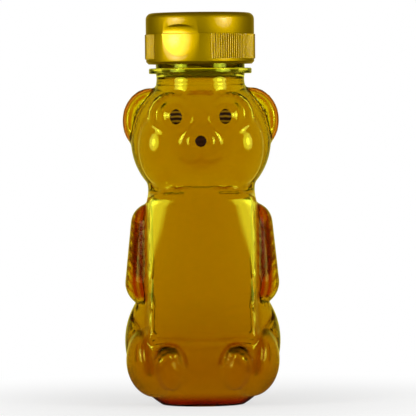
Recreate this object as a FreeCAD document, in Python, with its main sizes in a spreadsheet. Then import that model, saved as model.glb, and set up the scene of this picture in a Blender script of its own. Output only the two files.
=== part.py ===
"""Bear-shaped squeeze bottle for honey with a flip-top screw closure.

Millimetres, +Z up, the bear faces -Y. The origin is the middle of the footprint on the table.
"""

import FreeCAD
import Part
import Sketcher
import os

SIZES = {
    # Blow-moulded wall and what stands inside it
    "wall": 0.8,
    "floor_thickness": 1.4,
    "honey_gap": 0.25,
    "honey_below_ring": 1.3,
    # Seat of the bear, cut flat to stand on, with a push-up in the middle
    "hips_half_width": 29.2,
    "hips_half_depth": 22.8,
    "hips_half_height": 28.2,
    "hips_height": 24.0,
    "hips_setback": 1.7,
    "push_up_radius": 9.5,
    "push_up_depth": 3.0,
    # Trunk and the raised label panels on its front and back
    "trunk_half_width": 24.6,
    "trunk_half_depth": 19.6,
    "trunk_half_height": 28.0,
    "trunk_height": 56.0,
    "panel_half_width": 20.3,
    "panel_half_depth": 21.6,
    "panel_crown": 0.9,
    "panel_foot_height": 23.5,
    "panel_top_height": 79.0,
    "panel_corner_radius": 8.0,
    "panel_edge_radius": 4.5,
    # Arms folded down the sides
    "arm_spread": 20.0,
    "arm_forward": 3.5,
    "shoulder_radius": 7.9,
    "shoulder_height": 69.0,
    "paw_radius": 9.4,
    "paw_height": 46.0,
    # Legs that reach forward, soles towards the viewer
    "thigh_spread": 17.6,
    "thigh_half_width": 11.0,
    "thigh_half_depth": 13.0,
    "thigh_half_height": 14.0,
    "thigh_height": 17.5,
    "thigh_reach": 21.6,
    "sole_spread": 12.2,
    "sole_half_width": 6.0,
    "sole_half_depth": 7.5,
    "sole_half_height": 9.2,
    "sole_height": 15.3,
    "sole_reach": 25.2,
    # Head, chin collar, ears, muzzle, eyes and nose
    "head_half_width": 26.2,
    "head_half_depth": 22.4,
    "head_half_height": 25.0,
    "head_height": 99.0,
    "collar_half_width": 20.0,
    "collar_half_depth": 18.6,
    "collar_half_height": 30.0,
    "collar_drop": 18.0,
    "ear_spread": 18.6,
    "ear_half_width": 10.8,
    "ear_half_depth": 5.0,
    "ear_half_height": 12.2,
    "ear_rise": 6.8,
    "ear_setback": 1.5,
    "ear_rim": 2.5,
    "ear_dish_half_depth": 4.0,
    "ear_dish_depth": 3.0,
    "cheek_spread": 13.0,
    "cheek_radius": 8.6,
    "cheek_drop": 2.4,
    "cheek_forward": 11.6,
    "brow_radius": 8.0,
    "brow_stand_out": 1.4,
    "muzzle_half_width": 11.8,
    "muzzle_half_depth": 9.0,
    "muzzle_half_height": 11.0,
    "muzzle_drop": 6.2,
    "muzzle_stand_out": 3.0,
    "eye_spread": 9.05,
    "eye_rise": 9.2,
    "eye_dome_radius": 4.8,
    "eye_stand_out": 1.1,
    "pupil_half_width": 2.1,
    "pupil_half_height": 2.7,
    "nose_radius": 2.15,
    "nose_rise": 6.3,
    "nose_stand_out": 0.8,
    "print_thickness": 0.3,
    "print_gap": 0.04,
    # Neck and screw finish
    "neck_radius": 16.6,
    "bore_radius": 14.9,
    "neck_rise": 24.9,
    "ring_radius": 19.2,
    "ring_thickness": 2.0,
    "ring_edge_radius": 0.6,
    "finish_height": 10.16,
    # Foam liner pinched between the lip and the deck
    "liner_thickness": 1.0,
    "liner_outer_radius": 17.4,
    "seal_gap": 0.05,
    # Screw base of the closure
    "closure_radius": 20.2,
    "skirt_bore_radius": 17.9,
    "skirt_depth": 8.6,
    "deck_thickness": 1.45,
    "skirt_chamfer": 0.9,
    "spout_radius": 5.2,
    "spout_tip_radius": 4.6,
    "spout_height": 2.6,
    "orifice_radius": 3.2,
    "lid_bead_height": 0.7,
    "lid_bead_width": 0.8,
    "lid_bead_gap": 0.35,
    "rib_depth": 0.35,
    "rib_width": 0.5,
    "rib_tip_width": 0.25,
    "rib_pitch_angle": 2.6,
    "rib_count": 46,
    "rib_start_angle": 35.0,
    "rib_band_height": 1.9,
    # Flip lid
    "lid_radius": 20.25,
    "lid_height": 7.85,
    "lid_gap": 0.08,
    "lid_wall": 1.7,
    "lid_roof": 1.3,
    "lid_edge_radius": 2.4,
    "plug_clearance": 0.35,
    "plug_wall": 0.9,
    "plug_reach": 2.0,
    # Thumb recess across the parting line
    "thumb_base_depth": 1.4,
    "thumb_base_drop": 8.3,
    "thumb_lid_depth": 1.25,
    "thumb_lid_rise": 3.4,
    # Living hinge at the back: a film in the middle and a snap strap each side
    "hinge_flat": 0.7,
    "hinge_flat_drop": 4.5,
    "film_width": 4.4,
    "film_thickness": 0.45,
    "film_waist": 0.2,
    "film_half_height": 1.2,
    "strap_width": 1.6,
    "strap_spread": 4.0,
    "strap_half_height": 1.9,
    # The closure stops with its thumb recess turned to the viewer's left
    "closure_facing": 22.4,
}

UP = FreeCAD.Vector(0, 0, 1)
# Two places nearer than this are the same place
NEAR = 1e-4

doc = FreeCAD.newDocument("honey_bear_bottle")
sheet = doc.addObject("Spreadsheet::Sheet", "Sizes")
for row, (alias, value) in enumerate(SIZES.items(), start=1):
    sheet.set(f"A{row}", alias.replace("_", " "))
    sheet.set(f"B{row}", str(value))
    sheet.setAlias(f"B{row}", alias)
doc.recompute()


def bound(text):
    """Prefix every size named in an expression with the sheet that holds it."""
    words = []
    word = ""
    for mark in text + " ":
        if mark.isalnum() or mark == "_":
            word += mark
            continue
        words.append(f"Sizes.{word}" if word in SIZES else word)
        words.append(mark)
        word = ""
    return "".join(words).strip()


def number(text):
    """Value of an expression of named sizes, in millimetres or degrees."""
    return float(sheet.evalExpression(bound(text)))


# Heights and depths that several pieces share
RING_FOOT = "(head_height + neck_rise)"
RING_TOP = f"({RING_FOOT} + ring_thickness)"
LIP = f"({RING_TOP} + finish_height)"
DECK_FOOT = f"({LIP} + liner_thickness + 2 * seal_gap)"
PARTING = f"({DECK_FOOT} + deck_thickness)"
SKIRT_FOOT = f"({LIP} - skirt_depth)"
LID_FOOT = f"({PARTING} + lid_gap)"
LID_CEILING = f"({LID_FOOT} + lid_height - lid_roof)"
HONEY_TOP = f"({RING_FOOT} - honey_below_ring)"
HINGE_FLAT = "(closure_radius - hinge_flat)"
LID_BORE = "(lid_radius - lid_wall)"

EYE_HEIGHT = "(head_height + eye_rise)"
EYE_SEAT = ("(head_half_depth * sqrt(1 - (eye_spread / head_half_width)^2"
            " - (eye_rise / head_half_height)^2))")
BROW_BACK = f"(brow_radius - brow_stand_out - {EYE_SEAT})"
EYE_BACK = f"(eye_dome_radius - eye_stand_out - brow_stand_out - {EYE_SEAT})"
PUPIL_SAG = "(eye_dome_radius - sqrt(eye_dome_radius^2 - pupil_half_height^2))"
MUZZLE_HEIGHT = "(head_height - muzzle_drop)"
MUZZLE_BACK = "(muzzle_half_depth - muzzle_stand_out - head_half_depth)"
NOSE_SEAT = f"({MUZZLE_BACK} - muzzle_half_depth * sqrt(1 - (nose_rise / muzzle_half_height)^2))"
NOSE_TILT = ("atan(muzzle_half_depth * nose_rise / (muzzle_half_height^2"
             " * sqrt(1 - (nose_rise / muzzle_half_height)^2)))")
EAR_DISH_BACK = "(ear_setback - ear_half_depth - ear_dish_half_depth + ear_dish_depth)"


def lobe(name, half_sizes, centre):
    """One swelling of the bear's form: an ellipsoid with its half sizes and centre in X, Y, Z order."""
    solid = doc.addObject("Part::Ellipsoid", name)
    solid.Angle1 = -90
    solid.Angle2 = 90
    solid.Angle3 = 360
    for setting, size in zip(("Radius2", "Radius3", "Radius1"), half_sizes):
        solid.setExpression(setting, bound(size))
    for axis, place in zip("xyz", centre):
        solid.setExpression(f"Placement.Base.{axis}", bound(place))
    return solid


def post(name, radius, foot, height):
    """Upright round post about the bottle's axis."""
    solid = doc.addObject("Part::Cylinder", name)
    solid.setExpression("Radius", bound(radius))
    solid.setExpression("Height", bound(height))
    solid.setExpression("Placement.Base.z", bound(foot))
    return solid


def joined(name, solids):
    """Union of several solids."""
    whole = doc.addObject("Part::MultiFuse", name)
    whole.Shapes = solids
    whole.Refine = False
    return whole


def cut(name, solid, tools):
    """A solid less one or more tools, which are joined first."""
    result = doc.addObject("Part::Cut", name)
    result.Base = solid
    result.Tool = tools[0] if len(tools) == 1 else joined(f"{name}_tools", tools)
    result.Refine = False
    return result


def slab(name, foot, height):
    """Flat slab wider than the bear, to cut it at a level."""
    solid = doc.addObject("Part::Box", name)
    span = "4 * hips_half_width"
    solid.setExpression("Length", bound(span))
    solid.setExpression("Width", bound(span))
    solid.setExpression("Height", bound(height))
    solid.setExpression("Placement.Base.x", bound("-2 * hips_half_width"))
    solid.setExpression("Placement.Base.y", bound("-2 * hips_half_width"))
    solid.setExpression("Placement.Base.z", bound(foot))
    return solid


def origin_feature(body, role):
    """Origin plane or axis of a body, by its role."""
    return next(feature for feature in body.Origin.OriginFeatures if feature.Role == role)


def outline(body, name, plane, corners, arcs=None, offset=None):
    """Closed sketch whose corners are pairs of expressions, with arcs for some of its sides.

    arcs maps the number of a side to its radius and a point that the arc swells away from.
    """
    arcs = arcs or {}
    sketch = body.newObject("Sketcher::SketchObject", name)
    sketch.AttachmentSupport = (origin_feature(body, plane), [""])
    sketch.MapMode = "FlatFace"
    if offset:
        sketch.AttachmentOffset = offset
    points = [FreeCAD.Vector(number(x), number(y), 0) for x, y in corners]
    ends = {}
    for side, start in enumerate(points):
        finish = points[(side + 1) % len(points)]
        ends[side] = (1, 2)
        if side not in arcs:
            sketch.addGeometry(Part.LineSegment(start, finish), False)
            continue
        radius, (away_x, away_y) = arcs[side]
        half_chord = (finish - start).Length / 2
        middle = (start + finish) * 0.5
        outward = (middle - FreeCAD.Vector(number(away_x), number(away_y), 0)).normalize()
        crest = middle + outward * (number(radius) - (number(radius)**2 - half_chord**2)**0.5)
        sketch.addGeometry(Part.Arc(start, crest, finish), False)
        drawn = sketch.Geometry[side]
        if drawn.StartPoint.distanceToPoint(start) > NEAR:
            ends[side] = (2, 1)
    for side in range(len(points)):
        following = (side + 1) % len(points)
        meeting = Sketcher.Constraint("Coincident", side, ends[side][1], following, ends[following][0])
        sketch.addConstraint(meeting)
    for side, corner in enumerate(corners):
        for axis, place in zip("XY", corner):
            rule = Sketcher.Constraint(f"Distance{axis}", -1, 1, side, ends[side][0], number(place))
            index = sketch.addConstraint(rule)
            sketch.setExpression(f"Constraints[{index}]", bound(place))
    for side, (radius, _) in arcs.items():
        index = sketch.addConstraint(Sketcher.Constraint("Radius", side, number(radius)))
        sketch.setExpression(f"Constraints[{index}]", bound(radius))
    return sketch


def turned(body, name, corners, arcs=None):
    """Solid of revolution about Z from (radius, height) corners."""
    sketch = outline(body, f"{name}_profile", "XZ_Plane", corners, arcs)
    solid = body.newObject("PartDesign::Revolution", name)
    solid.Profile = sketch
    solid.ReferenceAxis = (sketch, ["V_Axis"])
    solid.Angle = 360
    doc.recompute()
    return solid


def rounded(body, name, base, edges, radius):
    """Fillet on the edges of a feature that a test picks out."""
    chosen = [f"Edge{i}" for i, edge in enumerate(base.Shape.Edges, start=1) if edges(edge)]
    fillet = body.newObject("PartDesign::Fillet", name)
    fillet.Base = (base, chosen)
    fillet.setExpression("Radius", bound(radius))
    doc.recompute()
    return fillet


def level(edge, height):
    """True for an edge that lies flat at a height."""
    heights = [vertex.Z for vertex in edge.Vertexes] + [edge.CenterOfMass.z]
    return all(abs(z - number(height)) < NEAR for z in heights)


def circle_at(radius, height):
    """Test for a round edge about Z, of a radius, at a height."""
    def chosen(edge):
        return (level(edge, height) and isinstance(edge.Curve, Part.Circle)
                and abs(edge.Curve.Radius - number(radius)) < NEAR)
    return chosen


def label_block(tag, inset):
    """Body of the trunk that carries the two label panels: crowned faces and rounded corners."""
    body = doc.addObject("PartDesign::Body", f"label_block_{tag}")
    half_width = f"(panel_half_width - {inset})"
    half_depth = f"(panel_half_depth - {inset})"
    side_depth = f"({half_depth} - panel_crown)"
    crown_radius = f"(({half_width})^2 + panel_crown^2) / (2 * panel_crown)"
    foot = f"(panel_foot_height + {inset})"
    corners = [(f"-{half_width}", f"-{side_depth}"), (half_width, f"-{side_depth}"),
               (half_width, side_depth), (f"-{half_width}", side_depth)]
    offset = FreeCAD.Placement(FreeCAD.Vector(0, 0, number(foot)), FreeCAD.Rotation())
    crown = (crown_radius, ("0", "0"))
    sketch = outline(body, f"label_plan_{tag}", "XY_Plane", corners, {0: crown, 2: crown}, offset)
    sketch.setExpression("AttachmentOffset.Base.z", bound(foot))
    block = body.newObject("PartDesign::Pad", f"label_pad_{tag}")
    block.Profile = sketch
    block.setExpression("Length", bound(f"panel_top_height - {inset} - {foot}"))
    doc.recompute()
    upright = rounded(body, f"label_corners_{tag}", block,
                      lambda edge: abs(edge.tangentAt(edge.FirstParameter).z) > 1 - NEAR,
                      f"panel_corner_radius - {inset}")
    rounded(body, f"label_edges_{tag}", upright,
            lambda edge: level(edge, f"panel_top_height - {inset}") or level(edge, foot),
            f"panel_edge_radius - {inset}")
    return body


def arm(side, sign, tag, inset):
    """Arm down the trunk's side: a round paw tapering up to a smaller round shoulder."""
    body = doc.addObject("PartDesign::Body", f"arm_{side}_{tag}")
    paw = f"(paw_radius - ({inset}))"
    shoulder = f"(shoulder_radius - ({inset}))"
    slope = "((paw_radius - shoulder_radius) / (shoulder_height - paw_height))"
    lean = f"sqrt(1 - {slope}^2)"
    corners = [("0", f"paw_height - {paw}"), (f"{paw} * {lean}", f"paw_height + {paw} * {slope}"),
               (f"{shoulder} * {lean}", f"shoulder_height + {shoulder} * {slope}"),
               ("0", f"shoulder_height + {shoulder}")]
    arcs = {0: (paw, ("0", "paw_height")), 2: (shoulder, ("0", "shoulder_height"))}
    turned(body, f"arm_turning_{side}_{tag}", corners, arcs)
    body.setExpression("Placement.Base.x", bound(f"{sign}arm_spread"))
    body.setExpression("Placement.Base.y", bound("-arm_forward"))
    return body


def bear(tag, inset):
    """The whole bear below its neck as one solid, its skin set in by an inset."""

    def swelling(name, half_sizes, centre):
        sizes = [f"{size} - ({inset})" for size in half_sizes]
        return lobe(f"{name}_{tag}", sizes, centre)

    def ear(side, sign):
        flap = swelling(f"ear_flap_{side}", ("ear_half_width", "ear_half_depth", "ear_half_height"),
                        (f"{sign}ear_spread", "ear_setback", "head_height + ear_rise"))
        sizes = (f"ear_half_width - ear_rim + {inset}", f"ear_dish_half_depth + {inset}",
                 f"ear_half_height - ear_rim + {inset}")
        dish = lobe(f"ear_dish_{side}_{tag}", sizes,
                    (f"{sign}ear_spread", EAR_DISH_BACK, "head_height + ear_rise"))
        return cut(f"ear_{side}_{tag}", flap, [dish])

    lobes = [
        label_block(tag, inset),
        swelling("hips", ("hips_half_width", "hips_half_depth", "hips_half_height"),
                 ("0", "hips_setback", "hips_height")),
        swelling("trunk", ("trunk_half_width", "trunk_half_depth", "trunk_half_height"),
                 ("0", "0", "trunk_height")),
        swelling("collar", ("collar_half_width", "collar_half_depth", "collar_half_height"),
                 ("0", "0", "head_height - collar_drop")),
        swelling("head", ("head_half_width", "head_half_depth", "head_half_height"),
                 ("0", "0", "head_height")),
        swelling("muzzle", ("muzzle_half_width", "muzzle_half_depth", "muzzle_half_height"),
                 ("0", MUZZLE_BACK, MUZZLE_HEIGHT)),
    ]
    for side, sign in (("left", "-"), ("right", "")):
        lobes += [
            arm(side, sign, tag, inset),
            swelling(f"thigh_{side}", ("thigh_half_width", "thigh_half_depth", "thigh_half_height"),
                     (f"{sign}thigh_spread", "thigh_half_depth - thigh_reach", "thigh_height")),
            swelling(f"sole_{side}", ("sole_half_width", "sole_half_depth", "sole_half_height"),
                     (f"{sign}sole_spread", "sole_half_depth - sole_reach", "sole_height")),
            ear(side, sign),
            swelling(f"cheek_{side}", ("cheek_radius",) * 3,
                     (f"{sign}cheek_spread", "-cheek_forward", "head_height - cheek_drop")),
            swelling(f"brow_{side}", ("brow_radius",) * 3,
                     (f"{sign}eye_spread", BROW_BACK, EYE_HEIGHT)),
            swelling(f"eye_dome_{side}", ("eye_dome_radius",) * 3,
                     (f"{sign}eye_spread", EYE_BACK, EYE_HEIGHT)),
        ]
    return joined(f"bear_{tag}", lobes)


def base_tools(tag, outset, floor):
    """Tools that shape the bear's base: the level it is cut at and the push-up dome."""
    below = slab(f"below_{tag}", f"{floor} - 2 * hips_half_height", "2 * hips_half_height")
    dome_radius = "(push_up_radius^2 + push_up_depth^2) / (2 * push_up_depth)"
    dome = lobe(f"push_up_{tag}", (f"{dome_radius} + {outset}",) * 3,
                ("0", "hips_setback", f"push_up_depth - {dome_radius}"))
    return [below, dome]


def make_neck():
    """Neck, support ring and plain finish wall, solid, from inside the head up to the lip."""
    body = doc.addObject("PartDesign::Body", "neck_solid")
    corners = [("0", "head_height"), ("neck_radius", "head_height"), ("neck_radius", RING_FOOT),
               ("ring_radius", RING_FOOT), ("ring_radius", RING_TOP), ("neck_radius", RING_TOP),
               ("neck_radius", LIP), ("0", LIP)]
    neck = turned(body, "neck_turning", corners)
    lower = circle_at("ring_radius", RING_FOOT)
    upper = circle_at("ring_radius", RING_TOP)
    rounded(body, "ring_edges", neck, lambda edge: lower(edge) or upper(edge), "ring_edge_radius")
    return body


def make_bottle():
    """Blow-moulded shell: the bear and its neck, less the same form set in by the wall."""
    solid = joined("skin_solid", [bear("skin", "0"), make_neck()])
    skin = cut("skin", solid, base_tools("skin", "0", "0"))
    inside = cut("inside", bear("inside", "wall"), base_tools("inside", "wall", "floor_thickness"))
    bore = post("bore", "bore_radius", "head_height", f"{LIP} - head_height + wall")
    return cut("bottle", skin, [joined("cavity", [inside, bore])])


def make_honey():
    """Honey up to just under the support ring, clear of the wall by the honey gap."""
    inset = "wall + honey_gap"
    floor = "floor_thickness + honey_gap"
    body = cut("honey_body", bear("honey", f"({inset})"), base_tools("honey", inset, floor))
    column = post("honey_column", "bore_radius - honey_gap", "head_height", f"{HONEY_TOP} - head_height")
    above = slab("above_honey", HONEY_TOP, "2 * hips_half_height")
    return cut("honey_fill", joined("honey_solid", [body, column]), [above])


def make_pupil(side, sign):
    """Pupil printed on an eye dome, a thin lens that follows the dome."""
    centre = (f"{sign}eye_spread", f"{EYE_BACK} - eye_dome_radius + {PUPIL_SAG}", EYE_HEIGHT)
    half_sizes = ("pupil_half_width", f"{PUPIL_SAG} + print_thickness", "pupil_half_height")
    spot = lobe(f"pupil_{side}", half_sizes, centre)
    dome = lobe(f"pupil_seat_{side}", ("eye_dome_radius + print_gap",) * 3,
                (f"{sign}eye_spread", EYE_BACK, EYE_HEIGHT))
    return cut(f"eye_{side}", spot, [dome])


def make_nose():
    """Nose printed on the upper muzzle, a small raised spot that leans back with the muzzle."""
    spot = lobe("nose_spot", ("nose_radius", "nose_stand_out + print_thickness", "nose_radius"),
                ("0", f"{NOSE_SEAT} + print_thickness", f"{MUZZLE_HEIGHT} + nose_rise"))
    spot.Placement.Rotation = FreeCAD.Rotation(FreeCAD.Vector(-1, 0, 0), number(NOSE_TILT))
    spot.setExpression("Placement.Rotation.Angle", bound(NOSE_TILT))
    seat = lobe("nose_seat", [f"muzzle_half_{way} + print_gap" for way in ("width", "depth", "height")],
                ("0", MUZZLE_BACK, MUZZLE_HEIGHT))
    return cut("nose", spot, [seat])


def face_closure(body):
    """Turn a closure piece so that its thumb recess points where the closure stops."""
    turn = FreeCAD.Rotation(UP, -number("closure_facing"))
    body.Placement = FreeCAD.Placement(FreeCAD.Vector(), turn)
    body.setExpression("Placement.Rotation.Angle", bound("-closure_facing"))


def make_liner():
    """Foam ring that seals the lip against the closure's deck."""
    body = doc.addObject("PartDesign::Body", "liner_ring")
    foot = f"{LIP} + seal_gap"
    top = f"{foot} + liner_thickness"
    turned(body, "liner_turning", [("bore_radius", foot), ("liner_outer_radius", foot),
                                   ("liner_outer_radius", top), ("bore_radius", top)])
    return body


def thumb_recess(body, tag, depth, reach, radius):
    """Hollow in a closure wall at the parting line, cut by a round bar that lies across it."""
    bar_radius = f"(({reach})^2 + ({depth})^2) / (2 * {depth})"
    sketch = body.newObject("Sketcher::SketchObject", f"thumb_bar_{tag}")
    sketch.AttachmentSupport = (origin_feature(body, "YZ_Plane"), [""])
    sketch.MapMode = "FlatFace"
    centre_y = f"-({radius} - {depth} + {bar_radius})"
    centre = FreeCAD.Vector(number(centre_y), number(PARTING), 0)
    sketch.addGeometry(Part.Circle(centre, UP, number(bar_radius)), False)
    for rule, place in (("DistanceX", centre_y), ("DistanceY", PARTING)):
        index = sketch.addConstraint(Sketcher.Constraint(rule, -1, 1, 0, 3, number(place)))
        sketch.setExpression(f"Constraints[{index}]", bound(place))
    index = sketch.addConstraint(Sketcher.Constraint("Radius", 0, number(bar_radius)))
    sketch.setExpression(f"Constraints[{index}]", bound(bar_radius))
    recess = body.newObject("PartDesign::Pocket", f"thumb_recess_{tag}")
    recess.Profile = sketch
    recess.Midplane = True
    recess.setExpression("Length", bound(f"2 * {radius}"))
    doc.recompute()


def flatten_back(body, tag, foot, height):
    """Flat across the back of a closure wall, where the living hinge lies."""
    # The block that is taken away spans the chord and reaches out past the wall
    half = "closure_radius / 2"
    outer = "closure_radius * 1.5"
    offset = FreeCAD.Placement(FreeCAD.Vector(0, 0, number(foot)), FreeCAD.Rotation())
    corners = [(f"-{half}", HINGE_FLAT), (half, HINGE_FLAT), (half, outer), (f"-{half}", outer)]
    sketch = outline(body, f"hinge_flat_plan_{tag}", "XY_Plane", corners, offset=offset)
    sketch.setExpression("AttachmentOffset.Base.z", bound(foot))
    flat = body.newObject("PartDesign::Pocket", f"hinge_flat_{tag}")
    flat.Profile = sketch
    flat.Reversed = True
    flat.setExpression("Length", bound(height))
    doc.recompute()


def ribs(body, tag, start, reverse):
    """Fine upright grip ribs round one side of the closure's wall."""
    foot = f"{SKIRT_FOOT} + rib_band_height"
    turn = FreeCAD.Rotation(UP, number(start))
    offset = FreeCAD.Placement(FreeCAD.Vector(0, 0, number(foot)), turn)
    root = "closure_radius - rib_depth"
    tip = "closure_radius + rib_depth"
    corners = [(root, "-rib_width / 2"), (tip, "-rib_tip_width / 2"),
               (tip, "rib_tip_width / 2"), (root, "rib_width / 2")]
    sketch = outline(body, f"rib_plan_{tag}", "XY_Plane", corners, offset=offset)
    sketch.setExpression("AttachmentOffset.Base.z", bound(foot))
    sketch.setExpression("AttachmentOffset.Rotation.Angle", bound(start))
    rib = body.newObject("PartDesign::Pad", f"rib_{tag}")
    rib.Profile = sketch
    rib.setExpression("Length", bound(f"{PARTING} - ({foot}) - lid_gap"))
    doc.recompute()
    pattern = body.newObject("PartDesign::PolarPattern", f"ribs_{tag}")
    pattern.Originals = [rib]
    pattern.Axis = (origin_feature(body, "Z_Axis"), [""])
    pattern.Reversed = reverse
    pattern.setExpression("Occurrences", bound("rib_count"))
    pattern.setExpression("Angle", bound("rib_pitch_angle * (rib_count - 1)"))
    body.Tip = pattern
    doc.recompute()


def make_closure_base():
    """Screw base: skirt, deck, pouring spout with its orifice, ribs, thumb recess and hinge flat."""
    body = doc.addObject("PartDesign::Body", "closure_base")
    bead_outer = f"({LID_BORE} - lid_bead_gap)"
    bead_inner = f"({bead_outer} - lid_bead_width)"
    corners = [
        ("orifice_radius", DECK_FOOT),
        ("skirt_bore_radius", DECK_FOOT),
        ("skirt_bore_radius", SKIRT_FOOT),
        ("closure_radius - skirt_chamfer", SKIRT_FOOT),
        ("closure_radius", f"{SKIRT_FOOT} + skirt_chamfer"),
        ("closure_radius", PARTING),
        (bead_outer, PARTING),
        (bead_outer, f"{PARTING} + lid_bead_height"),
        (bead_inner, f"{PARTING} + lid_bead_height"),
        (bead_inner, PARTING),
        ("spout_radius", PARTING),
        ("spout_tip_radius", f"{PARTING} + spout_height"),
        ("orifice_radius", f"{PARTING} + spout_height"),
    ]
    turned(body, "closure_turning", corners)
    ribs(body, "right", "rib_start_angle - 90", False)
    ribs(body, "left", "-rib_start_angle - 90", True)
    thumb_recess(body, "base", "thumb_base_depth", "thumb_base_drop", "closure_radius")
    flatten_back(body, "base", f"{PARTING} - hinge_flat_drop", "hinge_flat_drop + lid_bead_height")
    face_closure(body)
    return body


def make_flip_lid():
    """Flip lid: a shallow cup with a plug for the orifice and a lip over the thumb recess."""
    body = doc.addObject("PartDesign::Body", "flip_lid")
    plug = "(orifice_radius - plug_clearance)"
    plug_tip = f"{PARTING} + spout_height - plug_reach"
    top = f"{LID_FOOT} + lid_height"
    corners = [
        ("0", top),
        ("0", LID_CEILING),
        (f"{plug} - plug_wall", LID_CEILING),
        (f"{plug} - plug_wall", plug_tip),
        (plug, plug_tip),
        (plug, LID_CEILING),
        (LID_BORE, LID_CEILING),
        (LID_BORE, LID_FOOT),
        ("lid_radius", LID_FOOT),
        ("lid_radius", top),
    ]
    shell = turned(body, "lid_turning", corners)
    rounded(body, "lid_edge", shell, circle_at("lid_radius", top), "lid_edge_radius")
    thumb_recess(body, "lid", "thumb_lid_depth", "thumb_lid_rise", "lid_radius")
    flatten_back(body, "lid", LID_FOOT, "lid_height")
    face_closure(body)
    return body


def make_hinge_piece(name, width, half_height, spread):
    """Strip of the living hinge, thinned at the parting line so that it folds there."""
    body = doc.addObject("PartDesign::Body", name)
    inner = f"({HINGE_FLAT} + seal_gap)"
    middle = f"({PARTING} + lid_gap / 2)"
    low = f"({middle} - {half_height})"
    high = f"({middle} + {half_height})"
    corners = [(inner, low), (f"{inner} + film_thickness", low), (f"{inner} + film_waist", middle),
               (f"{inner} + film_thickness", high), (inner, high)]
    sketch = outline(body, f"{name}_profile", "YZ_Plane", corners,
                     offset=FreeCAD.Placement(FreeCAD.Vector(0, 0, number(spread)), FreeCAD.Rotation()))
    sketch.setExpression("AttachmentOffset.Base.z", bound(spread))
    strip = body.newObject("PartDesign::Pad", f"{name}_pad")
    strip.Profile = sketch
    strip.Midplane = True
    strip.setExpression("Length", bound(width))
    doc.recompute()
    face_closure(body)
    return body


pieces = [
    make_bottle(),
    make_honey(),
    make_pupil("left", "-"),
    make_pupil("right", ""),
    make_nose(),
    make_liner(),
    make_closure_base(),
    make_flip_lid(),
    make_hinge_piece("hinge_film", "film_width", "film_half_height", "0"),
    make_hinge_piece("snap_strap_left", "strap_width", "strap_half_height", "-strap_spread"),
    make_hinge_piece("snap_strap_right", "strap_width", "strap_half_height", "strap_spread"),
]
doc.recompute()

for item in doc.Objects:
    faults = {"Invalid", "Error"} & set(item.State)
    if faults:
        raise RuntimeError(f"{item.Label} failed: {sorted(faults)}")
for piece in pieces:
    if piece.Shape.isNull() or not piece.Shape.isValid():
        raise RuntimeError(f"{piece.Label} has no valid solid")
    print(f"{piece.Label}: {len(piece.Shape.Solids)} solid, {piece.Shape.Volume / 1000:.2f} cm3")

os.makedirs("parts", exist_ok=True)
for piece in pieces:
    piece.Shape.exportStep(f"parts/{piece.Label}.step")
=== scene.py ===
"""Looks of a bear-shaped honey bottle: clear shell, honey, printed face and flip-top closure.

Sizes are in millimetres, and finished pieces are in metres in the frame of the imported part.
The bear faces -Y and stands on Z = 0.
"""

import logging
import math
from dataclasses import dataclass, field
from enum import Enum

import bmesh
import bpy
import numpy as np
from bmesh.types import BMEdge, BMesh, BMVert
from bpy.types import Material, Node, NodeSocket, NodeTree, Object
from mathutils import Matrix, Vector
from mathutils.bvhtree import BVHTree


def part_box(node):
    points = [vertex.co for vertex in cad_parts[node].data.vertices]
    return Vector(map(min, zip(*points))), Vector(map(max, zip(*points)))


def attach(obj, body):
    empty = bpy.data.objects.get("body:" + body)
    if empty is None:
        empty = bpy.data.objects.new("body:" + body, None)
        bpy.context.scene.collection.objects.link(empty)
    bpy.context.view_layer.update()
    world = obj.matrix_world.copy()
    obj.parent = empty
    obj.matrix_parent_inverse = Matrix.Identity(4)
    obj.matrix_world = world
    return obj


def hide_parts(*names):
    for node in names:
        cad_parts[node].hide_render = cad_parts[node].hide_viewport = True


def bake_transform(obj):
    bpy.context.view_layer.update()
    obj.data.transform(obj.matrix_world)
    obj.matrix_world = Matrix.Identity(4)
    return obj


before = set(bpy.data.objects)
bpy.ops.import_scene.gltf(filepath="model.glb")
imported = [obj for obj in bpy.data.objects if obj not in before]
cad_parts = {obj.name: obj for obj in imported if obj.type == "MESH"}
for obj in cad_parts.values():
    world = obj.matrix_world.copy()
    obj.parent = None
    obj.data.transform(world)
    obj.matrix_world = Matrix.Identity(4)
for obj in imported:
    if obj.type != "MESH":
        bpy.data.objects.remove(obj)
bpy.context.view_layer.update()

MM = 0.001
FULL_TURN = 2 * math.pi
UP = Vector((0, 0, 1))
# Well outside the bottle, in millimetres
FAR = 100.0
# Vertices closer than this, in millimetres, are merged
MERGE = 1e-4
# Phase of Blender's wave texture per unit of length, at scale 1
WAVE_PHASE = 20.0
Pair = tuple[float, float]
Triple = tuple[float, float, float]
log = logging.getLogger("honey_bear_bottle")


class Body(Enum):
    """Bodies of the frame that a piece can ride on."""

    BOTTLE = "bottle"
    LINER = "liner"
    CLOSURE = "closure"
    LID = "lid"


class Side(Enum):
    """The viewer's left and right, as the sign of X."""

    LEFT = -1
    RIGHT = 1


@dataclass(frozen=True)
class Levels:
    """Heights that several pieces share, read from the frame."""

    lip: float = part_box("bottle")[1].z / MM
    honey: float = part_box("honey_fill")[1].z / MM
    liner_foot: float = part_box("liner_ring")[0].z / MM
    liner_top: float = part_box("liner_ring")[1].z / MM
    skirt_foot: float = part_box("closure_base")[0].z / MM
    spout_tip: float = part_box("closure_base")[1].z / MM
    lid_foot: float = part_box("flip_lid")[0].z / MM
    lid_top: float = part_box("flip_lid")[1].z / MM


LEVELS = Levels()


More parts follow.
